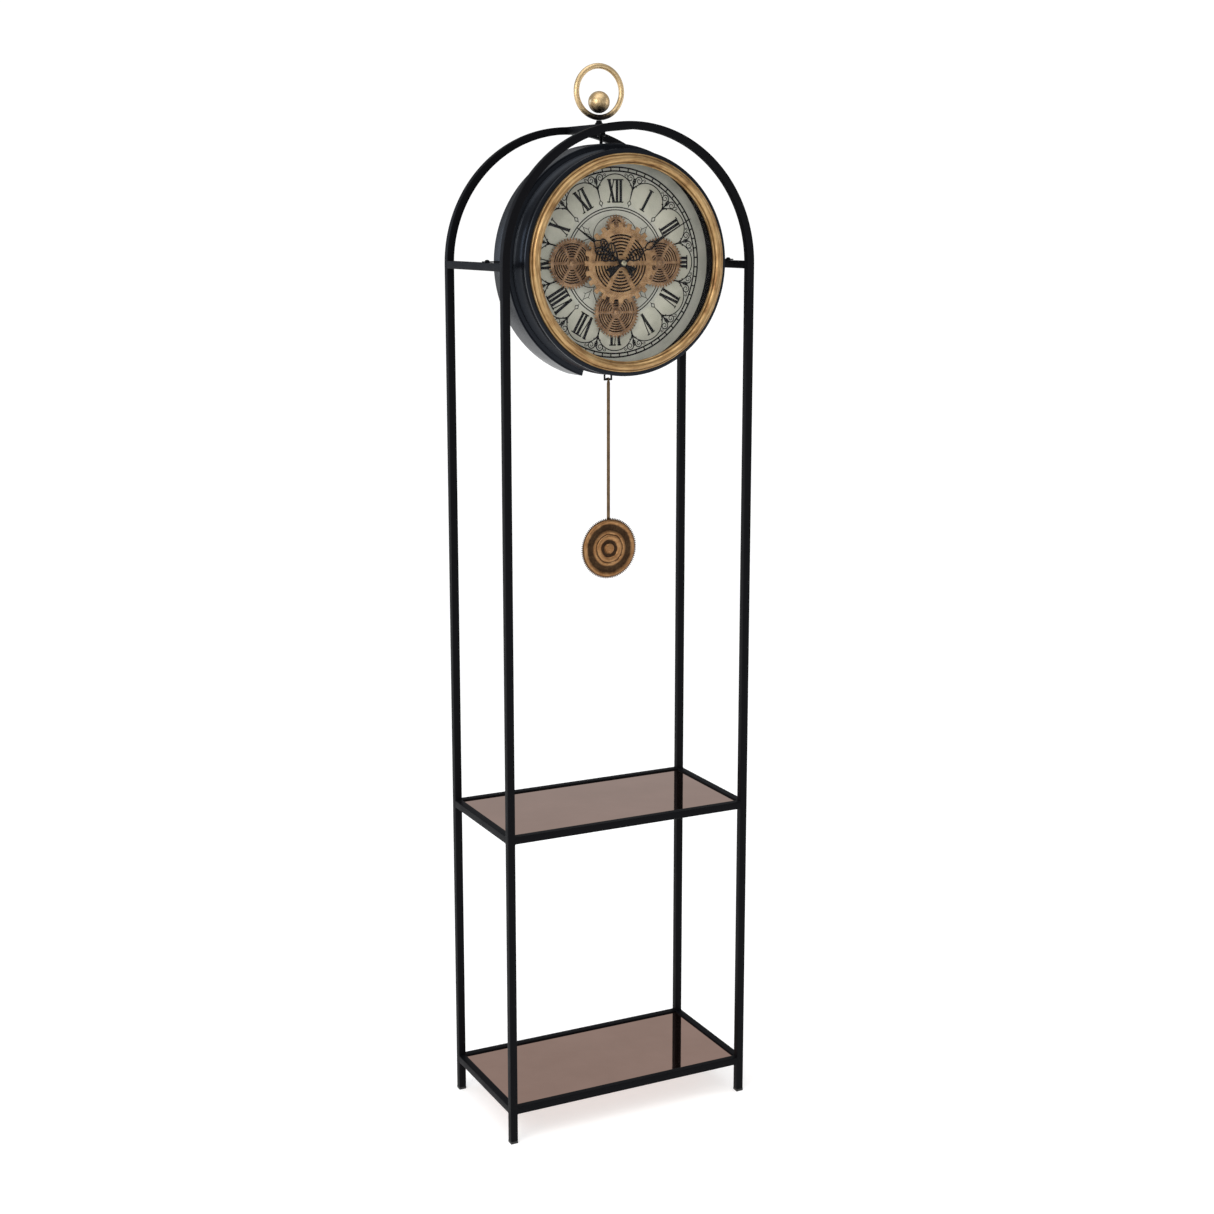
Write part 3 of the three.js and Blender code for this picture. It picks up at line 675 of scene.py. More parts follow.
def build_shelves():
    for level in ("middle", "lower"):
        dress(f"{level}_shelf_ledge", STEEL, 0.3)
        dress(f"{level}_shelf_glass", MIRROR, 0.9, 3)


# ---- finial and hanger bolt

def build_finial():
    low, high = box("finial_ring")
    ring_z = (low.z + high.z) / 2
    outer = (high.x - low.x) / 2
    wire = (high.y - low.y) / 2
    hoop = lathe([(outer - wire + wire * math.cos(TURN * k / 32), wire * math.sin(TURN * k / 32))
                  for k in range(32)])
    finish_mesh("finial_hoop", hoop, RING_GOLD, "stand", ["finial_ring"],
                (0, 0, ring_z))

    low, high = box("finial_ball")
    radius = (high.x - low.x) / 2
    stem = 4.2
    silhouette = [(stem, low.z - (low.z + high.z) / 2 + 0.2)]
    silhouette += [(radius * math.sin(t), -radius * math.cos(t))
                   for t in (math.asin(stem / radius) + (math.pi - math.asin(stem / radius)) * k / 48
                             for k in range(1, 49))]
    silhouette = [(0, silhouette[0][1])] + silhouette
    ball = upright(lathe(silhouette, 96, closed=False))
    finish_mesh("finial_sphere", ball, BALL_GOLD, "stand", ["finial_ball"],
                (0, 0, (low.z + high.z) / 2))

    low, high = box("finial_stud")
    height = high.z - low.z
    foot = (high.x - low.x) / 2
    collar = rounded([(0, 0), (foot, 0), (foot, 1.4), (foot - 1.6, 2.4), (foot - 2.4, height - 0.8),
                      (foot - 2.4, height), (0, height)], 0.6, closed=False)
    finish_mesh("finial_collar", upright(lathe(collar, 64, closed=False)),
                STEEL, "stand", ["finial_stud"], (0, 0, low.z))


def build_hanger_bolt():
    low, high = box("hanger_bolt")
    centre_y = (low.y + high.y) / 2
    radius = (high.y - low.y) / 2
    length = high.z - low.z
    pitch = 1.25
    threads = int(length / pitch)
    outline = [(0, 0), (radius - 0.5, 0)]
    for i in range(threads):
        outline += [(radius - 0.55, (i + 0.15) * pitch), (radius, (i + 0.5) * pitch),
                    (radius - 0.55, (i + 0.85) * pitch)]
    outline += [(radius - 0.5, length), (0, length)]
    finish_mesh("hanger_threads", upright(lathe(outline, 40, closed=False)),
                STEEL, "stand", ["hanger_bolt"], (0, centre_y, low.z))
    dress("hanger_nut", STEEL, 0.7, 3)


# ---- case

def build_bezel():
    """Gold moulding with a bead against the lens and a lip against the drum."""
    low, high = box("bezel_ring")
    front, back = low.y, high.y
    outer = BEZEL_OUTER
    inner = outer - 18
    crown = front + 0.1
    moulding = [(inner + 8.8 - 6.2 * math.cos(t), back - 4.2 + (crown - back + 4.2) * math.sin(t))
                for t in (math.pi * k / 28 for k in range(25))]
    bead = [(inner + 1.3 - 1.3 * math.cos(t), back - 3.0 - 1.6 * math.sin(t))
            for t in (math.pi * k / 8 for k in range(9))]
    lip = [(outer - 1.5 - 1.4 * math.cos(t), back - 3.6 - 1.5 * math.sin(t))
           for t in (math.pi * k / 8 for k in range(9))]
    outline = [(inner, back)] + bead + moulding + lip + [(outer, back - 2.0), (outer, back)]
    finish_mesh("bezel_moulding", lathe(outline, 256), BEZEL, "stand",
                ["bezel_ring"], FACE_CENTRE, sharp=50)

    low, high = box("lens")
    radius = high.x
    pane = rounded([(0, low.y), (radius, low.y), (radius, high.y), (0, high.y)], 0.5, closed=False)
    finish_mesh("lens_pane", lathe(pane, 128, closed=False), PANE, "stand",
                ["lens"], FACE_CENTRE)


def build_drum():
    """Coved shell, lined in matt black between the lens and the dial."""
    low, high = box("case_drum")
    front, rear = low.y, high.y
    depth = rear - front
    liner_back = DIAL_FACE - 0.3
    cove = [(RIM_RADIUS - 7.2 + 5.2 * (abs(t) ** 2.2) * (1.0 if t < 0 else 1.25),
             front + 8.5 + (depth - 13.5) * (t + 1) / 2)
            for t in (-1 + 2 * k / 28 for k in range(29))]
    outside = [(RIM_RADIUS, front), (RIM_RADIUS, front + 5.2), (RIM_RADIUS - 2.2, front + 6.6)]
    outside += cove
    outside += [(RIM_RADIUS + 1, rear - 4.2), (RIM_RADIUS + 1, rear)]
    inside = [(RIM_RADIUS - 1, rear), (RIM_RADIUS - 1, rear - 5)]
    inside += [(min(r - 1.6, RIM_RADIUS - 1.6), y) for r, y in reversed(cove)]
    inside += [(RIM_RADIUS - 3.5, front + 5), (RIM_RADIUS - 3.5, front + 1.6), (LINER + 1.5, front + 1.6),
               (LINER + 1.5, liner_back), (LINER, liner_back), (LINER, front)]
    drum = finish_mesh("drum_shell", lathe(rounded(outside + inside, 0.7), 256), CASE, "stand",
                       ["case_drum"], FACE_CENTRE, sharp=40)
    drum.data.materials.append(MATT)
    for face in drum.data.polygons:
        if math.hypot(face.center.x, face.center.z) < (LINER + 0.5) * MM:
            face.material_index = 1


def build_rear_band():
    """Rolled sheet band with folded edges and a cut end each side of the pendulum."""
    low, high = box("rear_band")
    gap = math.radians(BAND_OPENING)
    sheet = 2.0
    roll = 1.0
    edge_front = [(BAND_RADIUS, low.y + roll), (BAND_RADIUS - 0.5, low.y), (BAND_RADIUS - 3.6, low.y),
                  (BAND_RADIUS - 3.6, low.y + 2.2)]
    edge_rear = [(BAND_RADIUS - 3.6, high.y - 2.2), (BAND_RADIUS - 3.6, high.y),
                 (BAND_RADIUS - 0.5, high.y), (BAND_RADIUS, high.y - roll)]
    outline = rounded(edge_front + [(BAND_RADIUS - sheet, low.y + 2.8),
                                    (BAND_RADIUS - sheet, high.y - 2.8)] + edge_rear, 0.5)
    strip = lathe(outline, 256, start=-math.pi / 2 + gap, sweep=TURN - 2 * gap)
    finish_mesh("rear_band_strip", strip, CASE, "stand", ["rear_band"],
                FACE_CENTRE, sharp=40)


def build_back():
    """Pressed back panel with two raised rings, held by a circle of screws."""
    low, high = box("back_plate")
    screw_circle = 172
    radius = high.x
    rear = high.y
    lap = 180 + BAND_OPENING
    outline = arc(radius, lap - 360, 180 - BAND_OPENING, 180)
    outline += arc(RIM_RADIUS - 2.5, 180 - BAND_OPENING, 180 + BAND_OPENING, 24)
    parts = [cut_sheet([outline, circle(4.4, 32), circle(2.5, 24, (0, PINION_RISE))], rear - low.y,
                       0.3, low.y)]
    for middle, half in ((150, 4), (100, 3)):
        bead = [(middle - half, rear - 0.3), (middle - half * 0.5, rear + 0.9),
                (middle + half * 0.5, rear + 0.9), (middle + half, rear - 0.3)]
        parts.append(lathe(rounded(bead, 0.8), 160))
    finish_mesh("back_panel", joined("back_panel", parts), CASE, "stand",
                ["back_plate"], FACE_CENTRE)
    screws = []
    for angle in range(30, 390, 60):
        x, z = polar(screw_circle, angle)
        screws.append(screw_head(3.4, (x, rear + 0.05, z), 1))
    finish_mesh("back_screws", joined("back_screws", screws), ZINC, "stand",
                (), FACE_CENTRE)


def screw_head(radius, place, facing):
    """Domed cross-slot screw; facing is +1 to the back and -1 to the front."""
    dome = [(0, radius * 0.55), (radius * 0.35, radius * 0.52), (radius * 0.7, radius * 0.38),
            (radius, radius * 0.08), (radius, 0), (0, 0)]
    head = lathe([(r, y * facing) for r, y in dome], 28, closed=False)
    head.transform(Matrix.Translation(place))
    slots = []
    for turn in (0, 90):
        bar = cut_sheet([turned([(-radius * 0.62, -0.35), (radius * 0.62, -0.35),
                                 (radius * 0.62, 0.35), (-radius * 0.62, 0.35)], turn + 20)],
                        0.5, 0.1, 0)
        bar.transform(Matrix.Translation((place[0], place[1] + facing * radius * 0.5 - 0.25, place[2])))
        slots.append(bar)
    return joined("screw", [head] + slots)


def build_brackets():
    for side in ("left", "right"):
        dress(f"{side}_case_bracket", STEEL, 0.4)
        low, high = box(f"{side}_case_bracket")
        bar_low, bar_high = box(f"{side}_side_bar")
        head = upright(lathe([(0, 2.6), (1.8, 2.4), (3.4, 1.5), (3.9, 0.3), (3.9, 0), (0, 0)], 32,
                             closed=False))
        finish_mesh(f"{side}_bracket_screw", head, STEEL, "stand", (),
                    ((bar_low.x + bar_high.x) / 2, (low.y + high.y) / 2, high.z))


# ---- dial print

PETAL_TOP = 145.5
PETAL_JOIN = 123.0
PETAL_MIDDLE = 116.0            # centre of the petal's round end
DROP = 105.0                    # where the stem meets the small diamond


def petal_curve(steps=28):
    """The round end of a petal at twelve, from its left joint to its right joint."""
    half_width = PETAL_JOIN * math.sin(math.radians(15))
    height = PETAL_TOP - PETAL_MIDDLE
    return [(-half_width * math.cos(t), PETAL_MIDDLE + height * math.sin(t))
            for t in (math.pi * k / steps for k in range(steps + 1))]


def scroll(side):
    """One spiral of a spandrel at twelve, curling outwards from its stem."""
    centre = Vector((side * 8.5, 141.3))
    points = [Vector((0, 130)), Vector((side * 0.8, 136))]
    turns = 1.55
    for k in range(31):
        t = k / 30
        radius = 6.0 * (1 - t) ** 0.8 + 0.8
        angle = math.radians(200 - 360 * turns * t)
        points.append(centre + Vector((side * math.cos(angle), math.sin(angle))) * radius)
    return points


def dial_strokes():
    strokes = []

    def draw(points, width, turn=0.0, closed=False):
        strokes.append((turned(points, turn), width, closed))

    for radius, steps, width in ((156.4, 240, 2.7), (150.2, 240, 2.6), (91.4, 180, 1.9), (87.1, 180, 1.7)):
        draw(circle(radius, steps), width, closed=True)
    for minute in range(60):
        draw([(0, 149.8), (0, 156.6)], 2.3, minute * 6 + 3)
    for hour in range(12):
        draw(petal_curve(), 1.8, hour * 30)
        spandrel = hour * 30 + 15
        stem = [(0, DROP), (0, 114), (0, PETAL_JOIN), (0, 133), (0, 143.5)]
        draw(stem, [1.4, 2.0, 2.9, 2.2, 1.5], spandrel)
        draw([(0, DROP + 0.6), (3.3, 101), (0, 96.4), (-3.3, 101)], 1.4, spandrel, True)
        draw([(0, 97), (0, 93.6)], [1.6, 0.5], spandrel)
        for side in (-1, 1):
            draw(scroll(side), [2.0 - 0.9 * k / 32 for k in range(33)], spandrel)
            curl = [(side * 14.2, 142.2), (side * 16.4, 145.2), (side * 19.2, 145.6),
                    (side * 20.2, 143.6), (side * 18.6, 142.3), (side * 17.6, 143.6)]
            draw(smooth_line(curl, 4), 1.2, spandrel)
            tendril = [(0, 124), (side * 1.8, 128.4), (side * 4.8, 131.6), (side * 6.4, 130.4),
                       (side * 5.4, 128.8)]
            draw(smooth_line(tendril, 4), 1.25, spandrel)
            leaf = [(side * 1.0, 133), (side * 2.9, 135.6), (side * 2.5, 138.5)]
            draw(smooth_line(leaf, 3), 0.9, spandrel)
    for quarter in range(0, 360, 90):
        lobe = [(40 * math.sin(math.radians(a)), 45 + 33 * math.cos(math.radians(a)))
                for a in range(-104, 105, 8)]
        draw(lobe, 1.3, quarter)
        corner = quarter + 45
        draw([(0, 83.0), (4.2, 74), (0, 64.5), (-4.2, 74)], 1.1, corner, True)
        draw([(0, 86.5), (0, 82.5)], 1.0, corner)
        draw([(0, 65), (0, 60.5)], 1.0, corner)
        for side in (-1, 1):
            hook = [(side * 4.2, 74), (side * 6.4, 75.2), (side * 7.6, 73.6)]
            draw(smooth_line(hook, 4), 0.6, corner)
    return strokes


NUMERALS = ("XII", "I", "II", "III", "IV", "V", "VI", "VII", "VIII", "IX", "X", "XI")
NUMERAL_FOOT = 98.6
NUMERAL_HEAD = 137.2
ADVANCE = {"I": 7.0, "V": 13.2, "X": 13.6}


def numeral_strokes(text):
    """Strokes of a Roman numeral standing at twelve with its feet towards the centre."""
    foot, head = NUMERAL_FOOT, NUMERAL_HEAD
    serif = 2.0
    strokes = []
    x = -sum(ADVANCE[c] for c in text) / 2

    def cap(left, right, level):
        up = -1 if level == head else 1
        strokes.append(([(left, level + up * serif / 2), (right, level + up * serif / 2)], serif))
        for end, inward in ((left, 1), (right, -1)):
            strokes.append(([(end, level + up * serif / 2), (end + inward * 0.9, level + up * serif)],
                            serif * 0.9))

    for letter in text:
        wide = ADVANCE[letter]
        centre = x + wide / 2
        if letter == "I":
            strokes.append(([(centre, foot + 0.6), (centre, head - 0.6)], 4.9))
            cap(centre - 4.6, centre + 4.6, head)
            cap(centre - 4.6, centre + 4.6, foot)
        else:
            half = wide / 2 - 2.2
            if letter == "V":
                strokes.append(([(centre - half, head - 0.6), (centre, foot + 0.2)], 5.0))
                strokes.append(([(centre + half, head - 0.6), (centre + 0.4, foot + 0.2)], 1.9))
            else:
                strokes.append(([(centre - half, head - 0.6), (centre + half, foot + 0.6)], 5.0))
                strokes.append(([(centre + half, head - 0.6), (centre - half, foot + 0.6)], 1.9))
                cap(centre - half - 2.8, centre - half + 2.4, foot)
                cap(centre + half - 3.4, centre + half + 3.0, foot)
            cap(centre - half - 3.4, centre - half + 3.4, head)
            cap(centre + half - 2.4, centre + half + 2.6, head)
        x += wide
    return strokes


def build_dial():
    high = box("dial_plate")[1]
    face = DIAL_FACE
    radius = high.x
    card = rounded([(4.4, face), (radius, face), (radius, high.y), (4.4, high.y)], 0.3)
    finish_mesh("dial_card", lathe(card, 256), CARD, "stand", ["dial_plate"],
                FACE_CENTRE)

    panels = []
    for hour in range(12):
        lower = [(PETAL_JOIN * math.sin(math.radians(15)), 112),
                 polar(DROP + 1, 15), polar(98, 12), polar(96.5, 6), polar(96, 0),
                 polar(96.5, -6), polar(98, -12), polar(DROP + 1, -15),
                 (-PETAL_JOIN * math.sin(math.radians(15)), 112)]
        panels.append(cut_sheet([turned(petal_curve() + lower, hour * 30)], 0.06, 0.01, face - 0.06))
    finish_mesh("dial_petals", joined("dial_petals", panels), PETAL, "stand", (),
                FACE_CENTRE)

    lines = [ribbon(points, width, face - INK, INK, closed) for points, width, closed in dial_strokes()]
    finish_mesh("dial_ornament", joined("dial_ornament", lines), PRINT, "stand", (),
                FACE_CENTRE, sharp=60)

    letters = []
    for hour, text in enumerate(NUMERALS):
        for points, width in numeral_strokes(text):
            letters.append(ribbon(turned(points, hour * 30), width, face - INK - 0.04, INK + 0.04))
    finish_mesh("dial_numerals", joined("dial_numerals", letters), PRINT, "stand", (),
                FACE_CENTRE, sharp=60)


# ---- gears

COARSE_TEETH = 24
FINE_TEETH = 48
PINION_TEETH = 22


def toothed_outline(teeth, root, tip, root_share, tip_share, phase=0.0):
    """Gear outline with straight flanks and softened corners, first tooth at phase of a pitch."""
    step = 360 / teeth
    corners = []
    for i in range(teeth):
        middle = (i + phase) * step
        corners += [polar(root, middle - step * root_share), polar(tip, middle - step * tip_share),
                    polar(tip, middle), polar(tip, middle + step * tip_share),
                    polar(root, middle + step * root_share), polar(root, middle + step / 2)]
    return corners


def slot_rings(radii, width, spokes, spoke_width, phase=0.0):
    """Arc-shaped slots between the spokes, with round ends."""
    loops = []
    for radius in radii:
        clear = math.degrees((spoke_width / 2 + width * 0.2) / radius)
        for i in range(spokes):
            start = (i + phase) * 360 / spokes + clear
            end = (i + 1 + phase) * 360 / spokes - clear
            steps = max(4, int((end - start) * radius / 160))
            outer = arc(radius + width / 2, start, end, steps)
            inner = arc(radius - width / 2, end, start, steps)
            loops.append([tuple(p) for p in rounded(outer + inner, width * 0.3, steps=2)])
    return loops


def ring_ridge(inner, outer, base, height):
    """Raised ring on a gear face that looks towards -Y."""
    return lathe(rounded([(inner, base + 0.2), (inner, base - height), (outer, base - height),
                          (outer, base + 0.2)], height * 0.8), 128)


def gear_piece(node_name, body, place, finish, loops, extras, shade_sheet, thickness=None):
    """Toothed plate with a black sheet of the given (inner, outer) radius behind its slots: painted shade
    where the dial would show through the slots.
    """
    low, high = box(node_name)
    sheet = 0.5
    plate_thickness = (thickness or high.y - low.y) - sheet
    plate = cut_sheet(loops, plate_thickness, 0.22, low.y)
    centre = (place.x, 0, place.z)
    finish_mesh(node_name + "_plate", joined("gear", [plate] + extras), finish, body,
                [node_name], centre)
    rear = low.y + plate_thickness
    # Painted shade: the black sheet behind the slots.
    ring = rounded([(shade_sheet[0], rear - 0.1), (shade_sheet[1], rear - 0.1), (shade_sheet[1], rear + sheet),
                    (shade_sheet[0], rear + sheet)], 0.1)
    finish_mesh(node_name + "_slot_shade_sheet", lathe(ring, 96), PAINTED_SLOT_SHADE, body, (), centre)


def fine_gear_outline(phase=0.0):
    return toothed_outline(FINE_TEETH, 38.8, 42.2, 0.29, 0.14, phase)


def build_centre_gears():
    low, high = box("centre_gear")
    front = low.y
    tip = (high.x - low.x) / 2
    loops = [toothed_outline(COARSE_TEETH, tip - 7.2, tip, 0.27, 0.235), circle(4.3, 48)]
    loops += slot_rings([14.6 + 5.3 * k for k in range(7)], 2.9, 6, 6.2, 0.5)
    ridges = [ring_ridge(52.4, 53.6, front, 0.45), ring_ridge(7.4, 10.4, front, 0.8)]
    gear_piece("centre_gear", "gear_train", DIAL, GEAR_GOLD, loops, ridges, (4.4, 54))

    loops = [fine_gear_outline(), circle(8.2, 48)]
    loops += slot_rings([14 + 5 * k for k in range(5)], 2.4, 6, 5.0)
    gear_piece("drive_gear", "gear_train", DIAL, GEAR_COPPER, loops, [], (8.4, 37))

    low, high = box("gear_arbor")
    outer = (high.x - low.x) / 2
    bore = 4.2
    sleeve = rounded([(bore, low.y), (outer - 0.4, low.y), (outer - 0.4, low.y + 1.5),
                      (outer - 1.2, low.y + 2.2), (outer - 1.2, high.y - 2.2),
                      (outer, high.y - 1.4), (outer, high.y), (bore, high.y)], 0.4)
    finish_mesh("gear_arbor_sleeve", lathe(sleeve, 64), GEAR_COPPER, "gear_train",
                ["gear_arbor"], FACE_CENTRE)


def build_satellites():
    for side in ("left", "right", "lower"):
        place = joint_place(f"{side}_gear_turn")
        front = box(f"{side}_gear")[0].y
        loops = [fine_gear_outline(0.5), circle(3.3, 40)]
        loops += slot_rings([11.6 + 4.1 * k for k in range(6)], 2.2, 6, 3.4, 0.5)
        ridges = [ring_ridge(34.6, 35.7, front, 0.4), ring_ridge(7.0, 8.9, front, 0.55)]
        gear_piece(f"{side}_gear", f"{side}_satellite", place, GEAR_COPPER, loops,
                   ridges, (3.4, 35))

        low, high = box(f"{side}_gear_post")
        head = (high.x - low.x) / 2
        nose = low.y
        stem = 2.9
        post = rounded([(0, nose + 0.5), (1.5, nose + 0.5), (2.1, nose), (3.6, nose), (4.4, nose + 0.9),
                        (head, nose + 1.1), (head, nose + 2.4), (stem, nose + 2.6),
                        (stem, high.y - 0.2), (0, high.y - 0.2)], 0.35, closed=False)
        finish_mesh(f"{side}_gear_boss", lathe(post, 48, closed=False), GEAR_COPPER, "stand",
                    [f"{side}_gear_post"], (place.x, 0, place.z))


def build_pinion():
    low, high = box("upper_gear")
    front = low.y
    tip = (high.x - low.x) / 2
    loops = [toothed_outline(PINION_TEETH, tip - 3.5, tip - 0.1, 0.29, 0.14)]
    loops += slot_rings([7.2, 11.4], 1.9, 6, 3.0)
    shaft = lathe(rounded([(0, front - 0.6), (3.8, front - 0.6), (3.8, front + 0.3), (2, front + 0.6),
                           (2, high.y - 0.1), (0, high.y - 0.1)], 0.3, closed=False), 40, closed=False)
    gear_piece("upper_gear", "motor_pinion", joint_place("upper_gear_turn"), GEAR_COPPER,
               loops, [shaft], (2.2, 14.5), thickness=2.0)


# ---- hands

def oval(centre, half_x, half_z, lean, steps=28):
    """Closed oval of (x, z) that leans by an angle in degrees."""
    return [(centre[0] + x, centre[1] + z) for x, z in turned(
        [(half_x * math.sin(TURN * k / steps), half_z * math.cos(TURN * k / steps))
         for k in range(steps)], lean)]


def fishtail(length):
    """Swallow tail below the hub, as a closed outline."""
    right = [(3.2, -3), (3.0, -length * 0.35), (5.0, -length * 0.55), (7.2, -length * 0.78), (7.4, -length),
             (3.6, -length * 0.93), (0, -length * 0.84)]
    left = [(-x, z) for x, z in reversed(right[:-1])]
    return [tuple(p) for p in smooth_line(right + left, 4)]


def hour_strokes(length):
    """Strokes of (points, width, closed) of a hand that points to twelve."""
    strokes = [([(0, 5), (0, 14), (0, 30), (0, 50)], [5.4, 3.8, 3.0, 2.4], False),
               ([(0, 62), (0, 69), (0, 78), (0, length)], [3.0, 5.0, 3.4, 1.5], False)]
    for side in (-1, 1):
        shoulder = [(side, 12), (side * 5.8, 16), (side * 10.2, 22)]
        neck = [(side * 8.8, 54), (side * 5.4, 58), (side * 1.8, 63), (0, 68)]
        strokes += [(oval((side * 7.4, 46.0), 5.4, 8.2, side * 20), 2.5, True),
                    (oval((side * 9.4, 30.5), 5.6, 8.6, side * 38), 2.5, True),
                    ([(side * 4.6, 40.4), (side * 10.2, 51.0)], 2.0, False),
                    ([(side * 4.2, 25.4), (side * 14.2, 35.6)], 2.0, False),
                    (smooth_line(shoulder, 5), 3.0, False), (smooth_line(neck, 5), 2.3, False)]
    return strokes


def minute_strokes(length):
    strokes = [([(0, 5), (0, 14)], [5.4, 3.6], False),
               ([(0, 66), (0, 74), (0, 86), (0, 104), (0, length)], [3.4, 6.0, 4.2, 2.6, 1.3], False),
               (circle(2.7, 24, (0, 45.5)), 1.9, True),
               ([(0, 14), (0, 42)], 1.8, False)]
    lower = [(0.4, 13), (6.4, 19.5), (8.2, 28), (5.6, 37), (0.8, 42.6)]
    upper = [(1.2, 48), (5.0, 53.5), (5.6, 60), (2.8, 67), (0.2, 72)]
    for loop in (lower, upper):
        strokes += [(smooth_line([(side * x, z) for x, z in loop]), 2.5, False) for side in (-1, 1)]
    for level in (20, 27, 34):
        strokes.append((smooth_line([(-7.0, level - 3), (0, level + 1.5), (7.0, level - 3)], 4), 1.6, False))
    return strokes


def hand_piece(body, angle, strokes, tail, arbor_radius, bore=0.0):
    """Pierced hand in one plane; the crossing strokes share it as one stamped sheet."""
    low, high = box(f"{body}_hand")
    front, back = low.y, high.y
    thickness = 0.9
    parts = [ribbon(turned([tuple(p) for p in points], angle), width, front, thickness, closed)
             for points, width, closed in strokes]
    parts.append(cut_sheet([turned(fishtail(tail), angle)], thickness, 0.15, front))
    hub = rounded([(bore, front - 0.4), (5.6, front - 0.4), (6.4, front + 0.1), (6.4, front + thickness),
                   (arbor_radius, front + thickness + 0.2), (arbor_radius, back - 0.3),
                   (bore, back - 0.3)], 0.3, closed=bore > 0)
    parts.append(lathe(hub, 64, closed=bore > 0))
    finish_mesh(f"{body}_hand_filigree", joined("hand", parts), HAND, body,
                [f"{body}_hand"], FACE_CENTRE, sharp=40)


def build_hands():
    hour_length, minute_length = 102, 146
    hand_piece("hour", 305, hour_strokes(hour_length), 28, 2.9, bore=1.9)
    hand_piece("minute", 60, minute_strokes(minute_length), 34, 1.6)

    low, high = box("hand_cap")
    radius = high.x
    depth = high.y - low.y
    dome = [(radius * math.sin(t), high.y - 0.8 - (depth - 0.8) * math.cos(t))
            for t in (math.pi / 2 * k / 14 for k in range(15))]
    cap = dome + [(radius, high.y), (0, high.y)]
    finish_mesh("hand_cap_dome", lathe(cap, 64, closed=False), BRIGHT, "minute",
                ["hand_cap"], FACE_CENTRE)


# ---- pendulum

def build_pendulum():
    dress("pendulum_hanger", HANGER, 0.35)

    low, high = box("pendulum_rod")
    half = (high.x - low.x) / 2
    thickness = high.y - low.y
    rod = [(-half, low.z), (half, low.z), (half, high.z - 11), (half * 0.75, high.z - 7),
           (0, high.z), (-half * 0.75, high.z - 7), (-half, high.z - 11)]
    shaped = cut_sheet([[(x, z - low.z) for x, z in rod]], thickness, 0.4, low.y)
    finish_mesh("pendulum_rod_strip", shaped, BRONZE, "pendulum",
                ["pendulum_rod"], (0, 0, low.z))

    low, high = box("pendulum_bob")
    centre_z = (low.z + high.z) / 2
    radius = (high.z - low.z) / 2
    back = high.y
    rim = toothed_outline(96, radius - 2.7, radius, 0.36, 0.10)
    wheel = cut_sheet([rim], 2.0, 0.3, back - 2.0)
    profile = [(0, -5.9), (4.2, -5.8), (7, -5.4), (8.5, -4.6), (9.1, -2.6), (15.3, -2.4), (16.1, -3.6),
               (18, -4.6), (21.2, -4.9), (23.5, -4.3), (24.6, -3.1), (25.8, -3.1), (26.7, -3.9),
               (28.4, -3.9), (30.1, -3.2), (33.9, -2.5), (38.1, -2.3), (42.4, -2.5), (44.5, -3.2),
               (46.2, -3.7), (47.9, -3.4), (49.2, -2.4), (49.6, -1.6), (49.6, -0.8)]
    relief = [(0, back - 1.0)] + [(r, back + y) for r, y in reversed(profile)]
    disc = lathe(rounded(relief, 0.6, closed=False, steps=2), 160, closed=False)
    finish_mesh("pendulum_bob_disc", joined("bob", [wheel, disc]), BOB_BRONZE, "pendulum",
                ["pendulum_bob"], (0, 0, centre_z))


# ---- movement, seen from behind

def build_movement():
    for node_name in ("movement_housing", "gear_motor_housing"):
        dress(node_name, PLASTIC, 0.8, 3)
    for name in ("movement", "motor"):
        low, high = box(f"{name}_battery")
        centre = (low + high) / 2
        radius, half = (high.x - low.x) / 2, (high.z - low.z) / 2
        body = rounded([(0, -half), (radius - 0.4, -half), (radius - 0.1, -half + 0.8),
                        (radius - 0.1, half - 2.2), (radius - 0.9, half - 1.5), (2.7, half - 1.5),
                        (2.6, half), (0, half)], 0.35, closed=False)
        finish_mesh(f"{name}_cell", upright(lathe(body, 64, closed=False)),
                    CELL, "stand", [f"{name}_battery"], centre)

    low, high = box("setting_knob")
    middle = (low + high) / 2
    radius = (high.x - low.x) / 2
    knurl = toothed_outline(30, radius - 0.6, radius - 0.05, 0.34, 0.16)
    grip = cut_sheet([knurl], high.y - low.y, 0.4, low.y)
    finish_mesh("setting_knob_grip", grip, PLASTIC, "knob", ["setting_knob"],
                (middle.x, 0, middle.z))

    low, high = box("movement_housing")
    rear = box("gear_motor_housing")[1].y
    details = []
    for x in (low.x + 5, low.x + 21):
        for z in (high.z - 6, low.z + 6):
            details.append(screw_head(2.2, (x, rear - 0.05, z), 1))
    finish_mesh("movement_screws", joined("movement_screws", details), ZINC, "stand")
    dress("movement_bushing", BRIGHT, 0.2)


# ---- stage, lights and camera

def build_stage():
    reach = 30                  # metres
    floor_mesh = bpy.data.meshes.new("floor")
    floor_mesh.from_pydata([(-reach, -reach, 0), (reach, -reach, 0), (reach, reach, 0), (-reach, reach, 0)],
                           [], [(0, 1, 2, 3)])
    material, tree, where = shader_of("pale_floor", Roughness=0.85, Specular_IOR_Level=0.1,
                                      Emission_Color=(1, 1, 1, 1), Emission_Strength=0.58)
    grain = noise(tree, where, 3, 3)
    tone = ramp(tree, grain, [(0.3, (0.54, 0.54, 0.535)), (0.7, (0.56, 0.56, 0.555))])
    floor_mesh.materials.append(coated(material, tone))
    floor = bpy.data.objects.new("floor", floor_mesh)
    bpy.context.scene.collection.objects.link(floor)


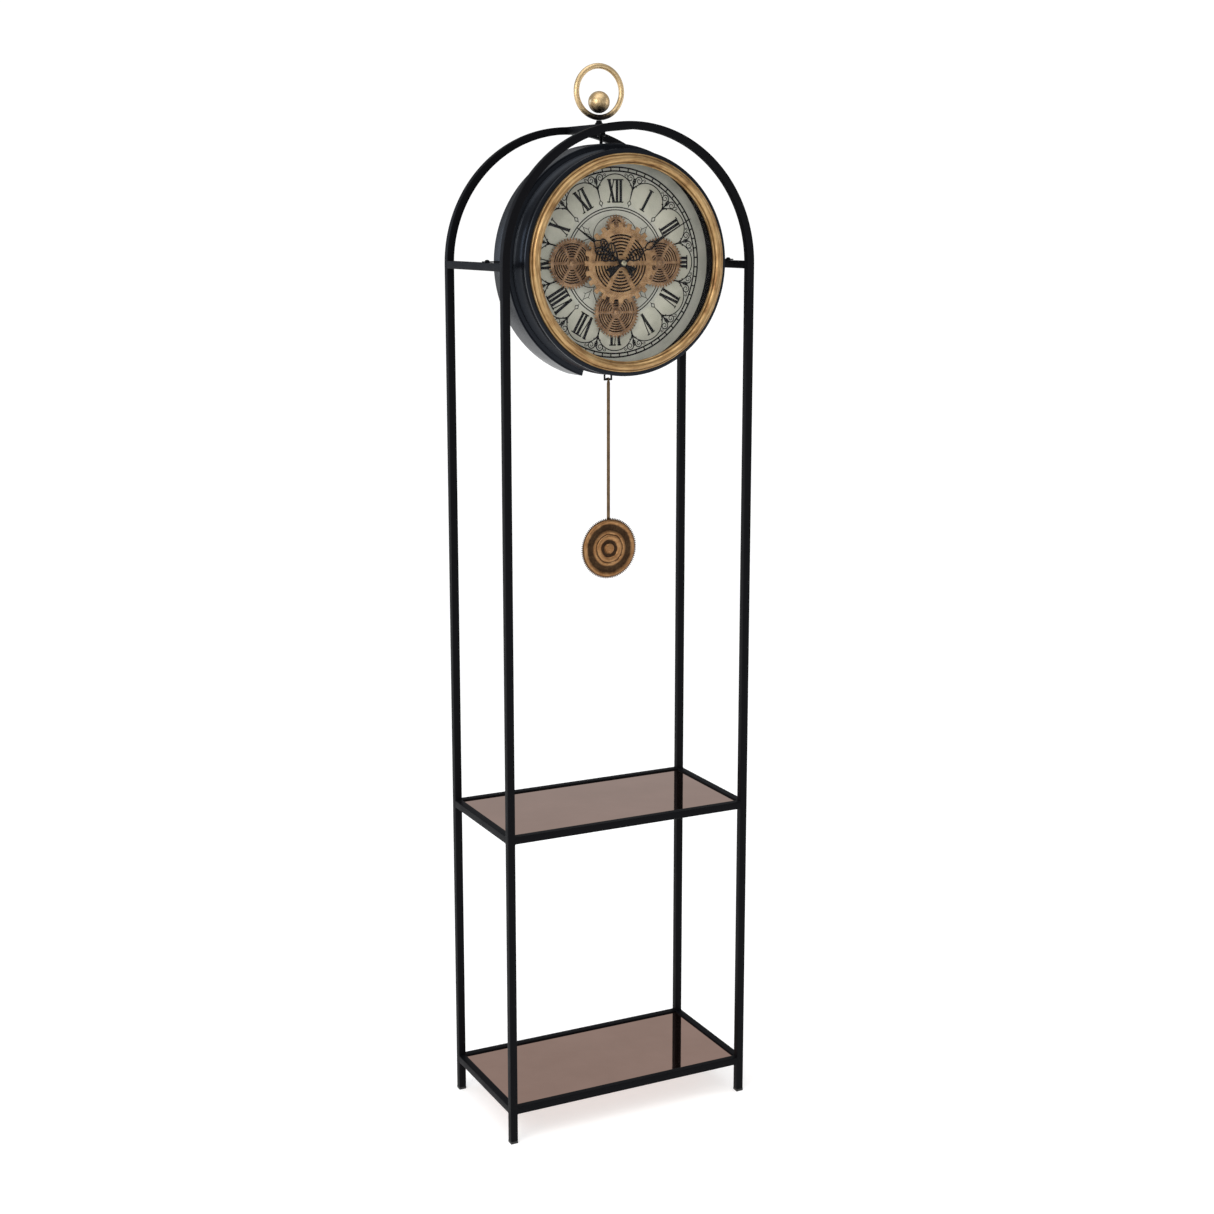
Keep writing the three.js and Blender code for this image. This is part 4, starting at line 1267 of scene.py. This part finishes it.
def area_light(name, place, aim_height, size, power, colour):
    """Rectangular lamp aimed at a height on the clock's axis; lengths in metres."""
    lamp = bpy.data.lights.new(name, "AREA")
    lamp.shape = "RECTANGLE"
    lamp.size, lamp.size_y = size
    lamp.energy = power
    lamp.color = colour
    holder = bpy.data.objects.new(name, lamp)
    holder.location = place
    holder.rotation_euler = (Vector((0, 0, aim_height)) - Vector(place)).to_track_quat("-Z", "Y").to_euler()
    bpy.context.scene.collection.objects.link(holder)


def build_lights():
    scene = bpy.context.scene
    scene.view_settings.view_transform = "Standard"
    world = bpy.data.worlds.new("studio")
    scene.world = world
    world.use_nodes = True
    tree = world.node_tree
    seen = tree.nodes["Background"]
    seen.inputs["Color"].default_value = (1, 1, 1, 1)
    seen.inputs["Strength"].default_value = 1.05
    height = node(tree, "SeparateXYZ", {"Vector": tree.nodes.new("ShaderNodeTexCoord").outputs["Generated"]})
    glow = ramp(tree, height.outputs["Z"], [(0.0, (0.56, 0.56, 0.57)), (0.25, (0.50, 0.51, 0.52)),
                                            (0.6, (0.44, 0.45, 0.47)), (1.0, (0.85, 0.86, 0.88))])
    studio = node(tree, "Background", {"Color": glow, "Strength": 0.8})
    path = tree.nodes.new("ShaderNodeLightPath")
    mixed = node(tree, "MixShader", {0: path.outputs["Is Camera Ray"], 1: studio.outputs[0],
                                     2: seen.outputs[0]})
    tree.links.new(mixed.outputs[0], tree.nodes["World Output"].inputs["Surface"])

    sun = bpy.data.lights.new("overhead_softbox", "SUN")
    sun.energy = 1.5
    sun.angle = math.radians(75)
    holder = bpy.data.objects.new("overhead_softbox", sun)
    holder.rotation_euler = (math.radians(17), math.radians(-12), 0)
    scene.collection.objects.link(holder)
    area_light("rear_left_softbox", (-1.9, 1.9, 1.95), 1.55, (1.6, 1.2), 12, (0.62, 0.76, 1.0))
    area_light("key_softbox", (-2.2, -1.15, 2.1), 1.5, (1.3, 1.5), 30, (1.0, 0.96, 0.90))
    area_light("front_softbox", (-1.2, -3.4, 2.35), 1.5, (0.9, 0.9), 8, (1.0, 0.97, 0.93))
    area_light("right_softbox", (2.6, -0.9, 1.95), 1.45, (0.5, 1.8), 9, (1.0, 0.97, 0.94))


def build_camera():
    azimuth, elevation = math.radians(-26.64), math.radians(10.56)
    lens = bpy.data.cameras.new("camera")
    lens.sensor_width = 36
    lens.lens = 56.1
    lens.shift_y = -0.03
    lens.clip_end = 200
    camera = bpy.data.objects.new("camera", lens)
    camera.location = (-1.4599, -2.9405, 1.5922)
    back = Vector((math.sin(azimuth) * math.cos(elevation), -math.cos(azimuth) * math.cos(elevation),
                   math.sin(elevation)))
    camera.rotation_mode = "QUATERNION"
    camera.rotation_quaternion = (-back).to_track_quat("-Z", "Y")
    bpy.context.scene.collection.objects.link(camera)
    bpy.context.scene.camera = camera


build_frame()
build_shelves()
build_finial()
build_hanger_bolt()
build_bezel()
build_drum()
build_rear_band()
build_back()
build_brackets()
build_dial()
build_centre_gears()
build_satellites()
build_pinion()
build_hands()
build_pendulum()
build_movement()
build_stage()
build_lights()
build_camera()
